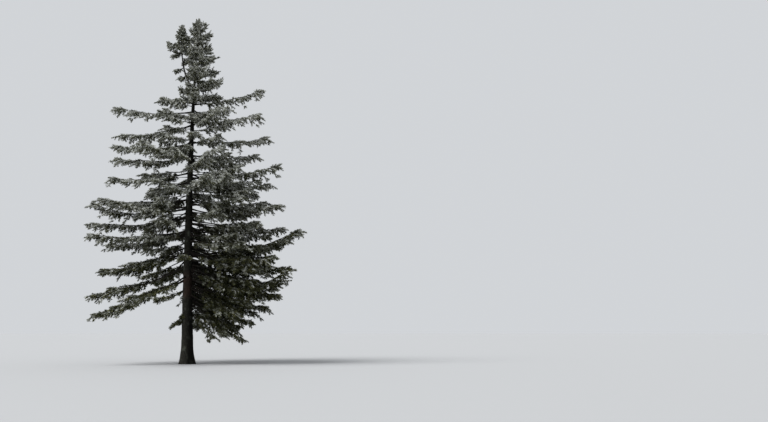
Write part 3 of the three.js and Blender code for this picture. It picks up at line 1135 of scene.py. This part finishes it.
@dataclass(frozen=True)
class Limb:
    """A bough in its place, with a phase for its sway: the line that its wood and twigs follow."""

    bough: Bough
    root: Array
    phase: float
    sway: float = 0.018
    bob: float = 0.008
    clump_length: float = 0.85
    clump_wander: float = 1.2
    end_clump: float = 0.8
    end_from: Range = (0.78, 0.95)

    def points(self, share: Array) -> Array:
        """Points on the bough's axis, which sways a little to its sides.

        Args:
            share: Shares of its reach.

        Returns:
            The points, one row each.
        """
        bough = self.bough
        out = level(bough.bearing) * bough.reach
        middle = self.root + out / 2 + UP * (bough.rise / 2 - bough.sweep * bough.reach / 2)
        end = self.root + out + UP * bough.rise
        free = bough.reach * np.sin(math.pi * share)
        aside = self.sway * free * np.sin(7.0 * share + self.phase)
        lift = self.bob * free * np.sin(11.0 * share + 2.0 * self.phase) + bough.upturn * share**4
        points = bezier(self.root, middle, end, share * bough.limb_share())
        return points + level(bough.bearing + 90.0) * aside[:, None] + UP * lift[:, None]

    def slope(self, share: Array) -> Array:
        """The rise of the bough's axis for each metre along.

        Args:
            share: Shares of its reach.

        Returns:
            The rise at each.
        """
        bough = self.bough
        sag = bough.sweep * bough.reach
        rise = (bough.rise - sag) * (1.0 - share) + (bough.rise + sag) * share
        rise = rise + 4.0 * bough.upturn * share**3
        return rise / np.hypot(bough.reach, rise)

    def clumps(self, share: Array) -> Array:
        """How thickly the twigs stand along the bough, which gathers them in clumps.

        Args:
            share: Shares of its reach.

        Returns:
            Values from 0 between clumps to 1 in their middle.
        """
        place = share * self.bough.reach * 2.0 * math.pi / self.clump_length
        wander = self.clump_wander * np.sin(0.37 * place + 5.0 * self.phase)
        wave = 0.5 + 0.5 * np.sin(place + 2.3 * self.phase + wander)
        return np.maximum(wave, self.end_clump * smooth(share, *self.end_from))


@dataclass(frozen=True)
class Twigs:
    """The twigs of one bough as arrays, one row each, with slopes and droops for each metre."""

    points: Array
    heading: Array
    slope: Array
    droop: Array
    length: Array
    share: Array


@dataclass
class Branchlets:
    """Branchlets as arrays: where each grows, where it points, how long it is, and how rimed, less painted
    shade.
    """

    feet: list[Array] = field(default_factory=list)
    directions: list[Array] = field(default_factory=list)
    lengths: list[Array] = field(default_factory=list)
    rime: list[Array] = field(default_factory=list)
    zones: list[Indices] = field(default_factory=list)

    def add(
        self, zone: Zone, feet: Array, bearings: Array, slopes: Array, lengths: Array, rime: Array
    ) -> None:
        """Adds branchlets.

        Args:
            zone: The zone of their bough.
            feet: Where they grow, one row each.
            bearings: Their bearings.
            slopes: How far each points above level, in degrees.
            lengths: Their lengths.
            rime: How rimed each is, from 0 to 1, less the painted shade dealt to it.
        """
        tilt = np.radians(slopes)[:, None]
        self.feet.append(feet)
        self.directions.append(level(bearings) * np.cos(tilt) + UP * np.sin(tilt))
        self.lengths.append(lengths)
        self.rime.append(rime)
        self.zones.append(np.full(len(feet), list(Zone).index(zone)))


@dataclass(frozen=True)
class Rime:
    """How rime settles: more with height and towards the tips, less low on the right."""

    rng: np.random.Generator
    least: float = 0.27
    by_height: float = 0.7
    heights: Range = (2.5, 12.5)
    outwards: float = 0.34
    shelter: float = 0.12
    shelter_across: Range = (-1.0, 2.5)
    shelter_heights: Range = (5.0, 10.0)
    chance: float = 0.27

    def on(self, feet: Array, outer: Array, chance: "float | None" = None) -> Array:
        """How rimed branchlets are.

        Args:
            feet: Where they grow, one row each.
            outer: How far out on their bough each is, from 0 to 1.
            chance: How much one differs from the next, where it isn't as usual.

        Returns:
            Values round 0 to 1.
        """
        height = smooth(feet[:, 2], *self.heights)
        low = 1.0 - smooth(feet[:, 2], *self.shelter_heights)
        shelter = self.shelter * smooth(feet[:, 0], *self.shelter_across) * low
        drawn = self.rng.normal(0.0, self.chance if chance is None else chance, len(feet))
        return self.least + self.by_height * height + self.outwards * outer - shelter + drawn


@dataclass
class Crown:
    """The crown as it grows: each bough's limb, its twigs, and the branchlets on them.

    Turns and tilts are in degrees. A pair is the two ends of a range: of what chance draws from, or
    of a measure that changes along a bough, twig or tip.
    """

    rng: np.random.Generator
    rime: Rime
    branchlets: Branchlets = field(default_factory=Branchlets)
    limbs: list[Shape] = field(default_factory=list)
    twigs: dict[Zone, list[Shape]] = field(default_factory=lambda: {zone: [] for zone in Zone})

    relief: Relief = field(default_factory=lambda: Relief(0.12, 0.01, 0.03, 0.006))
    limb_radius: float = 0.0108
    limb_radius_least: float = 0.02
    limb_tip_share: float = 0.14
    limb_sides: int = 7
    limb_ring_step: float = 0.11
    collar: float = 0.45
    collar_length: float = 0.32
    unevenness: float = 0.16

    twig_angle: float = 52.0
    twig_closing: float = 12.0
    twig_turn: Range = (-10.0, 10.0)
    twig_share: float = 0.175
    twig_least: float = 0.40
    twig_least_share: float = 0.3
    twig_chance: Range = (0.5, 1.15)
    twig_slope: Range = (-0.08, 0.08)
    twig_droop: Range = (0.08, 0.45)
    top_twig_slope: Range = (-0.15, 0.25)
    top_twig_droop: Range = (-0.15, 0.1)
    twig_radius: float = 0.011
    twig_taper: tuple[float, ...] = (1.0, 0.75, 0.42)
    twig_thinness: Range = (0.45, 1.0)
    twig_growth: Range = (0.36, 1.0)
    clump_growth: Range = (0.5, 1.22)
    slope_share: float = 0.6
    top_slope_share: float = 0.7
    twig_dip: float = 0.12

    spacing: float = 0.14
    step_chance: Range = (0.35, 0.75)
    shortening: float = 0.3
    length: float = 0.31
    young_reach: float = 4.5
    young_share: float = 0.78
    side_turn: Range = (35.0, 62.0)
    side_tilt: Range = (-34.0, 4.0)
    hanging_turn: Range = (-50.0, 50.0)
    hanging_tilt: Range = (-82.0, -48.0)
    hanging_chance: Range = (0.8, 1.4)
    size_chance: Range = (0.7, 1.15)
    end_turn: Range = (-8.0, 8.0)
    end_chance: Range = (0.8, 1.1)
    own_rime: float = 0.13
    clump_rime: float = 0.3
    # painted shade deep in a bough: branchlets near a twig's foot are darker, fading out over this depth
    # towards its tip
    inner_shade_fade: float = 0.32
    inner_shade_depth: Range = (0.04, 0.34)
    inner_painted_shade: float = 0.2
    # painted shade on hanging branchlets, beneath their twig, and a little painted light on those to the
    # sides
    hanging_painted_shade: float = -0.13
    side_painted_light: float = 0.03
    spread_least: float = 0.22
    spread_steps: tuple[tuple[float, float, float], ...] = ((0.2, 4.0, 11.0), (0.16, 12.0, 14.5))

    axis_spacing: float = 0.12
    axis_step: Range = (0.2, 0.8)
    axis_end: float = 0.98
    axis_turn: Range = (-75.0, 75.0)
    axis_tilt: Range = (-80.0, -45.0)
    axis_rise: Range = (0.0, 45.0)
    axis_chance: Range = (0.7, 1.1)
    fan: tuple[float, ...] = (-75.0, -52.0, -32.0, -12.0, 8.0, 28.0, 48.0, 70.0, -38.0, 34.0, 0.0)
    fan_hanging: int = 3
    fan_hanging_tilt: float = -48.0
    fan_tilt: Range = (-10.0, 12.0)
    fan_chance: Range = (0.72, 0.95)

    tip_count: int = 46
    tip_tilt: Range = (22.0, 62.0)
    tip_turn: Range = (-14.0, 14.0)
    tip_length: Range = (0.36, 0.24)
    tip_chance: Range = (0.8, 1.1)
    tip_end: float = 0.22
    tip_overlap: float = 0.05

    def grow(self, layout: Layout) -> None:
        """Grows every bough of a layout, and the upright tips of both stems.

        Args:
            layout: Where the boughs stand, and on which stems.
        """
        for bough, root in layout.boughs():
            self._grow_bough(Limb(bough, root, self.rng.uniform(0.0, 6.28)))
        for stem in (layout.trunk, layout.leader):
            self._grow_tip(stem)

    def build_limbs(self) -> bpy.types.Object:
        """Makes the piece of all the limbs, with their bark raised.

        Returns:
            The piece.
        """
        piece = Shape.joined(self.limbs).piece("boughs_bark")
        self.relief.raise_on(piece, 0)
        return piece

    def _grow_bough(self, limb: Limb) -> None:
        """Grows one bough: its wood, then its twigs to both sides, then the branchlets on both.

        Args:
            limb: The bough in its place.
        """
        reach = limb.bough.reach
        share = np.linspace(0.0, 1.0, max(6, round(reach / self.limb_ring_step)))
        foot = max(self.limb_radius_least, reach * self.limb_radius)
        radii = foot * (1.0 - (1.0 - self.limb_tip_share) * share)
        radii *= 1.0 + self.collar * np.exp(-((share * reach / self.collar_length) ** 2))
        uneven = 1.0 + self.unevenness * (self.rng.random((len(share), self.limb_sides)) - 0.5)
        self.limbs.append(tubes(limb.points(share)[None], (radii[:, None] * uneven)[None], self.limb_sides))
        self._grow_on_twigs(limb, self._grow_twigs(limb))
        self._grow_on_axis(limb)

    def _grow_twigs(self, limb: Limb) -> Twigs:
        """Grows the twigs of a bough to both sides in turn.

        Args:
            limb: The bough in its place.

        Returns:
            The twigs.
        """
        rng, bough = self.rng, limb.bough
        upright = bough.habit is Habit.UPRIGHT
        dressing = bough.habit.value
        count = max(4, round((1.0 - bough.bare) * bough.reach / dressing.twig_spacing))
        order = np.arange(count)
        out = (order + 0.4) / (count + 0.4)
        share = bough.bare + (1.0 - bough.bare) * out
        side = np.where(order % 2 == 1, 1.0, -1.0)
        heading = bough.bearing + side * (
            self.twig_angle - self.twig_closing * out + rng.uniform(*self.twig_turn, count)
        )
        grown = between(self.twig_growth, smooth(out, 0.0, dressing.full_from))
        if not upright:
            grown *= between(self.clump_growth, limb.clumps(share))
        least = min(self.twig_least, self.twig_least_share * bough.reach)
        longest = least + self.twig_share * bough.reach * (1.0 - out)
        length = longest * grown * rng.uniform(*self.twig_chance, count)
        slope = limb.slope(share) * self.slope_share - self.twig_dip
        slope += rng.uniform(*self.twig_slope, count)
        droop = rng.uniform(*self.twig_droop, count)
        if upright:
            slope = limb.slope(share) * self.top_slope_share
            slope += rng.uniform(*self.top_twig_slope, count)
            droop = rng.uniform(*self.top_twig_droop, count)
        steps = np.linspace(0.0, 1.0, len(self.twig_taper))
        run = level(heading)[:, None, :] * steps[None, :, None] * length[:, None, None]
        fall = slope[:, None] * steps - droop[:, None] * steps**2
        points = limb.points(share)[:, None, :] + run + UP * (fall * length[:, None])[..., None]
        radii = self.twig_radius * between(self.twig_thinness, length[:, None]) * np.array(self.twig_taper)
        self.twigs[Zone.at(bough.height)].append(tubes(points, radii, 3))
        return Twigs(points, heading, slope, droop, length, share)

    def _grow_on_twigs(self, limb: Limb, twigs: Twigs) -> None:
        """Grows branchlets on twigs: some hang, some lie to the sides, and one goes on from each end.

        Args:
            limb: The bough in its place.
            twigs: Its twigs.
        """
        rng, height = self.rng, limb.bough.height
        dressing, zone = limb.bough.habit.value, Zone.at(height)
        heading, slope, droop, length = twigs.heading, twigs.slope, twigs.droop, twigs.length
        many = np.maximum(3, np.round(length / self.spacing)).astype(int)
        which = np.repeat(np.arange(len(length)), many)
        step = np.concatenate([np.arange(m) for m in many])
        count = len(step)
        u = (step + rng.uniform(*self.step_chance, count)) / many[which]
        feet = twigs.points[which, 0] + level(heading[which]) * (u * length[which])[:, None]
        feet[:, 2] += (slope[which] * u - droop[which] * u**2) * length[which]
        side = np.where(step % 2 == 1, 1.0, -1.0)
        hang = rng.random(count) < dressing.hanging
        bearing = heading[which] + side * rng.uniform(*self.side_turn, count)
        tilt = rng.uniform(*self.side_tilt, count) + np.degrees(slope[which]) * 0.5 + dressing.lift
        bearing[hang] = heading[which][hang] + rng.uniform(*self.hanging_turn, hang.sum())
        tilt[hang] = rng.uniform(*self.hanging_tilt, hang.sum())
        usual = self.length * self._youth(limb.bough)
        size = usual * (1.0 - self.shortening * u) * rng.uniform(*self.size_chance, count)
        size[hang] *= rng.uniform(*self.hanging_chance, hang.sum())
        rime = self.rime.on(feet, twigs.share[which] * 0.5 + u * 0.5, self.own_rime)
        # painted shade on hanging branchlets, painted light on those to the sides
        rime += np.where(hang, self.hanging_painted_shade, self.side_painted_light)
        # painted shade near the twig's foot, fading out towards its tip
        rime += self.inner_shade_fade * smooth(u * length[which], *self.inner_shade_depth) - self.inner_painted_shade
        more = (share * smooth(height, low, high) for share, low, high in self.spread_steps)
        spread = sum(more, self.spread_least)
        clump = self.clump_rime * (limb.clumps(twigs.share) - 0.5)
        rime += (clump + rng.normal(0.0, spread, len(length)))[which]
        self.branchlets.add(zone, feet, bearing, tilt, size, rime)
        middles = twigs.points[:, 1] * 0.9 + twigs.points[:, 0] * 0.1
        tilt = np.degrees(np.arctan(slope - droop * 1.2))
        rime = self.rime.on(middles, twigs.share * 0.6 + 0.2)
        self.branchlets.add(zone, middles, heading, tilt, np.minimum(0.75 * length, self.length), rime)
        tilt = np.degrees(np.arctan(slope - 2 * droop * 0.8)) + dressing.end_lift
        size = usual * 0.85 * rng.uniform(*self.end_chance, len(length))
        ends = twigs.points[:, 2] * 0.85 + twigs.points[:, 1] * 0.15
        bearing = heading + rng.uniform(*self.end_turn, len(length))
        rime = self.rime.on(ends, twigs.share * 0.6 + 0.4)
        self.branchlets.add(zone, ends, bearing, tilt, size, rime)

    def _youth(self, bough: Bough) -> float:
        """The share of the usual length that branchlets have on a bough, less on a short one."""
        return self.young_share + (1.0 - self.young_share) * min(1.0, bough.reach / self.young_reach)

    def _grow_on_axis(self, limb: Limb) -> None:
        """Grows branchlets on a bough's own axis, and a fan of them at its tip.

        Args:
            limb: The bough in its place.
        """
        rng, bough = self.rng, limb.bough
        dressing, zone = bough.habit.value, Zone.at(bough.height)
        count = max(4, round((1.0 - bough.bare) * bough.reach / self.axis_spacing))
        out = (np.arange(count) + rng.uniform(*self.axis_step, count)) / count
        share = bough.bare + (self.axis_end - bough.bare) * out
        feet = limb.points(share)
        hang = rng.random(count) < dressing.axis_hanging
        bearing = bough.bearing + rng.uniform(*self.axis_turn, count) * dressing.axis_fan
        rising = rng.uniform(*self.axis_rise, count) * dressing.axis_rise
        tilt = np.where(hang, rng.uniform(*self.axis_tilt, count), rising)
        size = self.length * np.where(hang, 1.1, 0.65) * rng.uniform(*self.axis_chance, count)
        size *= self._youth(bough) * (0.72 + 0.4 * limb.clumps(share))
        # painted shade along the bough's own axis
        rime = self.rime.on(feet, share) - dressing.axis_painted_shade
        self.branchlets.add(zone, feet, bearing, tilt, size, rime)
        fan = np.array(self.fan)
        count = len(fan)
        feet = limb.points(0.99 - np.abs(fan) * 0.0009)
        tilt = np.degrees(limb.slope(np.full(count, 1.0))) + rng.uniform(*self.fan_tilt, count)
        tilt[-self.fan_hanging:] = self.fan_hanging_tilt
        size = self.length * rng.uniform(*self.fan_chance, count) * min(1.0, 0.65 + 0.2 * bough.reach)
        rime = self.rime.on(feet, np.ones(count))
        self.branchlets.add(zone, feet, bough.bearing + fan, tilt, size, rime)

    def _grow_tip(self, stem: Stem) -> None:
        """Grows an upright tip: a stem, branchlets in a spiral round it, and one straight up.

        Args:
            stem: The stem that it stands on.
        """
        foot = stem.axis(stem.top - self.tip_overlap)
        end = np.array([foot[0] + 0.01, foot[1], stem.tip_height - self.tip_end])
        share = np.linspace(0.0, 1.0, 8)
        points = foot + (end - foot) * share[:, None]
        radii = stem.tip_foot_radius * (1.0 - 0.8 * share)
        self.limbs.append(tubes(points[None], radii[None], 6, np.array([0.0, 1.0, 0.0])))
        at = np.linspace(0.02, 0.98, self.tip_count)
        feet = foot + (end - foot) * at[:, None]
        bearing = np.arange(self.tip_count) * GOLDEN_TURN
        tilt = between(self.tip_tilt, at) + self.rng.uniform(*self.tip_turn, self.tip_count)
        size = between(self.tip_length, at) * self.rng.uniform(*self.tip_chance, self.tip_count)
        rime = self.rime.on(feet, np.ones(self.tip_count))
        self.branchlets.add(Zone.HIGH, feet, bearing, tilt, size, rime)
        last = (np.array([value]) for value in (0.0, 89.0, 0.2, 0.7))
        self.branchlets.add(Zone.HIGH, end[None], *last)


@dataclass
class Spray:
    """The shape of one branchlet at length 1, along +Z with +Y up: a thin core in needles."""

    rng: np.random.Generator
    needle: float = 0.34
    width: float = 0.155
    leans: Range = (76.0, 32.0)
    lean_chance: Range = (-9.0, 9.0)
    turn_chance: Range = (-20.0, 20.0)
    size_chance: Range = (0.8, 1.15)
    upper_from: float = -0.15
    core_radius: float = 0.018
    shaft: float = 0.78
    side_shaft: float = 0.4
    side_lean: float = 50.0
    side_chance: Range = (-8.0, 8.0)
    side_lift: Range = (-0.25, 0.1)

    def brush(self, start: Array, along: Array, length: float, count: int) -> tuple[Shape, Shape, Shape]:
        """One straight stretch of needles.

        Args:
            start: Where the stretch starts.
            along: Its unit direction.
            length: Its length.
            count: How many needles it has.

        Returns:
            The needles on its upper side, those on its lower side, and its core.
        """
        rng = self.rng
        turned = frames(along[None], np.zeros(1))[0]
        at = (np.arange(count) + 0.5) / count
        turn = np.radians(np.arange(count) * GOLDEN_TURN + rng.uniform(*self.turn_chance, count))
        lean = np.radians(between(self.leans, at) + rng.uniform(*self.lean_chance, count))
        radial = np.stack([np.cos(turn), np.sin(turn), np.zeros(count)], axis=1)
        pointing = radial * np.sin(lean)[:, None] + UP * np.cos(lean)[:, None]
        across = np.stack([-np.sin(turn), np.cos(turn), np.zeros(count)], axis=1)
        twist = rng.uniform(0.0, math.pi, count)[:, None]
        wide = across * np.cos(twist) + np.cross(across, pointing) * np.sin(twist)
        foot = UP * (at * length)[:, None]
        size = self.needle * rng.uniform(*self.size_chance, count)[:, None]
        half = wide * self.width * 0.5
        corners = np.stack([foot - half, foot + half, foot + pointing * size], axis=1) @ turned.T + start
        upper = (radial @ turned.T)[:, 1] > self.upper_from
        halves = []
        for kept in (upper, ~upper):
            chosen = corners[kept].reshape(-1, 3)
            halves.append(Shape(chosen, np.arange(len(chosen)).reshape(-1, 3)))
        return halves[0], halves[1], self._core(start, turned, length)

    def _core(self, start: Array, turned: Array, length: float) -> Shape:
        """The core of a stretch: a three-sided spike.

        Args:
            start: Where the stretch starts.
            turned: The matrix that turns +Z to its direction.
            length: Its length.

        Returns:
            A closed shape of four triangles.
        """
        turn = np.arange(3) * 2.0 * math.pi / 3
        ring = np.stack([np.cos(turn), np.sin(turn), np.zeros(3)], axis=1) * self.core_radius
        corners = np.concatenate([ring, [[0.0, 0.0, length]]]) @ turned.T + start
        return Shape(corners, np.array([[0, 1, 3], [1, 2, 3], [2, 0, 3], [0, 2, 1]]))

    def single(self, needles: int) -> tuple[Shape, Shape, Shape]:
        """A branchlet with no side shoots."""
        return self.brush(np.zeros(3), UP, self.shaft, needles)

    def forked(self, needles: int, side_shoots: int, side_needles: int) -> tuple[Shape, ...]:
        """A branchlet with side shoots in its flat plane.

        Args:
            needles: How many needles its own shaft has.
            side_shoots: How many side shoots it has.
            side_needles: How many needles each of those has.

        Returns:
            Its upper needles, its lower needles, and its core.
        """
        parts = [self.single(needles)]
        for i in range(side_shoots):
            side = 1.0 if i % 2 else -1.0
            lean = math.radians(self.side_lean + self.rng.uniform(*self.side_chance))
            lift = self.rng.uniform(*self.side_lift)
            along = unit(np.array([side * math.sin(lean), lift, math.cos(lean)]))
            start = np.array([0.0, 0.0, 0.1 + 0.45 * i / side_shoots])
            parts.append(self.brush(start, along, self.side_shaft, side_needles))
        return tuple(Shape.joined([part[k] for part in parts]) for k in range(3))


@dataclass
class Foliage:
    """All the needles and fine twigs of the crown, joined by zone and shade."""

    crown: Crown
    rng: np.random.Generator
    roll: Range = (-0.5, 0.5)
    singles: int = 3
    single_needles: int = 27
    forks: int = 2
    fork_from: float = 0.18
    forked_share: float = 0.4
    rime_steps: tuple[float, ...] = (0.27, 0.52, 0.82)
    # the lower needles of a spray are two shades darker: less rime settles under them, and the rest is
    # painted shade
    underside_rime_and_shade_steps: int = 2

    def build(self) -> None:
        """Sets a spray at each branchlet, deals out the shades, and makes the pieces."""
        grown, rng = self.crown.branchlets, self.rng
        feet, along = np.concatenate(grown.feet), np.concatenate(grown.directions)
        length, rime = np.concatenate(grown.lengths), np.concatenate(grown.rime)
        zone = np.concatenate(grown.zones)
        many = len(feet)
        turns = frames(along, rng.uniform(*self.roll, many)) * length[:, None, None]
        spray = Spray(rng)
        kinds = [spray.single(self.single_needles) for _ in range(self.singles)]
        kinds += [spray.forked(14, 2, 8) for _ in range(self.forks)]
        forked = (length > self.fork_from) & (rng.random(many) < self.forked_share)
        fork, single = rng.integers(self.singles, len(kinds), many), rng.integers(0, self.singles, many)
        kind = np.where(forked, fork, single)
        shade = np.digitize(rime, self.rime_steps)
        # lower needles: less rime, and painted shade
        underside_rime_and_shade = np.maximum(shade - self.underside_rime_and_shade_steps, 0)
        log.info("%d branchlets, %d of them forked", many, forked.sum())
        for z, this_zone in enumerate(Zone):
            cores = list(self.crown.twigs[this_zone])
            needles: dict[Shade, list[Shape]] = {value: [] for value in Shade}
            for k, (upper, lower, core) in enumerate(kinds):
                here = (kind == k) & (zone == z)
                cores.append(core.copies(turns[here], feet[here]))
                for value in Shade:
                    for side, shades in ((upper, shade), (lower, underside_rime_and_shade)):
                        dealt = here & (shades == value.value)
                        needles[value].append(side.copies(turns[dealt], feet[dealt]))
            self._make_pieces(this_zone, cores, needles)

    def _make_pieces(self, zone: Zone, cores: list[Shape], needles: dict[Shade, list[Shape]]) -> None:
        """Joins a zone's twigs into one piece, and its needles into one for each shade.

        Args:
            zone: The zone.
            cores: Its twigs and the cores of its branchlets.
            needles: Its needles by shade.
        """
        name = zone.name.lower()
        finishes = LOW_FINISHES if zone is Zone.LOW else NEEDLE_FINISHES
        twigs = Shape.joined(cores).piece("twigs_" + name)
        dress(twigs, TWIG_FINISH.material(), zone.nodes())
        for shade, shapes in needles.items():
            piece = Shape.joined(shapes).piece(f"needles_{name}_{shade.name.lower()}")
            dress(piece, finishes[shade].material(), zone.nodes())


@dataclass(frozen=True)
class Studio:
    """A pale floor, a plain pale surround, soft light, and the camera where the photographer stood."""

    camera_place: tuple[float, float, float] = (9.6756, -37.4, 1.6)
    pitch: float = 9.1306
    lens: float = 35.0
    sensor: float = 36.0
    view_length: float = 2000.0
    floor_size: float = 900.0
    surround: Color = (0.64, 0.66, 0.685)
    key_power: float = 4.1
    key_softness: float = 36.0
    key_tilt: float = 37.0
    key_turn: float = -60.0

    def build(self) -> None:
        """Makes the floor, the light and the camera."""
        self._make_floor()
        self._make_light()
        self._make_camera()

    def _make_floor(self) -> None:
        """Adds the floor at ground level."""
        bpy.ops.object.select_all(action="DESELECT")
        bpy.ops.mesh.primitive_plane_add(size=self.floor_size, location=(0.0, 0.0, 0.0))
        floor = bpy.context.object
        floor.name = "floor"
        floor.data.materials.append(FLOOR_FINISH.material())

    def _make_light(self) -> None:
        """Adds an even surround and one very soft light from the upper left, in front."""
        world = bpy.data.worlds.new("surround")
        bpy.context.scene.world = world
        world.use_nodes = True
        back = world.node_tree.nodes["Background"]
        back.inputs["Color"].default_value = (*self.surround, 1.0)
        back.inputs["Strength"].default_value = 1.0
        light = bpy.data.lights.new("softbox", "SUN")
        light.energy = self.key_power
        light.angle = math.radians(self.key_softness)
        lamp = bpy.data.objects.new("softbox", light)
        lamp.rotation_euler = (math.radians(self.key_tilt), 0.0, math.radians(self.key_turn))
        bpy.context.scene.collection.objects.link(lamp)

    def _make_camera(self) -> None:
        """Adds the camera."""
        data = bpy.data.cameras.new("camera")
        data.lens = self.lens
        data.sensor_width = self.sensor
        data.clip_end = self.view_length
        camera = bpy.data.objects.new("camera", data)
        camera.location = self.camera_place
        camera.rotation_euler = (math.radians(90.0 + self.pitch), 0.0, 0.0)
        bpy.context.scene.collection.objects.link(camera)
        bpy.context.scene.camera = camera
        bpy.context.scene.view_settings.view_transform = "Standard"


def main() -> None:
    """Builds the tree and the studio."""
    logging.basicConfig(level=logging.INFO, format="%(name)s: %(message)s")
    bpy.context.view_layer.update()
    rng = np.random.default_rng(SEED)
    trunk = Trunk()
    dress(trunk.build(), TRUNK_BARK.material(), ["trunk"])
    leader = SecondLeader(trunk=trunk)
    limb_bark = LIMB_BARK.material()
    dress(leader.build(), limb_bark, ["second_leader"])
    crown = Crown(rng, Rime(rng))
    crown.grow(Layout(trunk, leader, rng))
    bare = [name for name in frame["nodes"] if name.startswith("bough_")]
    dress(crown.build_limbs(), limb_bark, bare)
    Foliage(crown, rng).build()
    Studio().build()


if __name__ == "__main__":
    main()
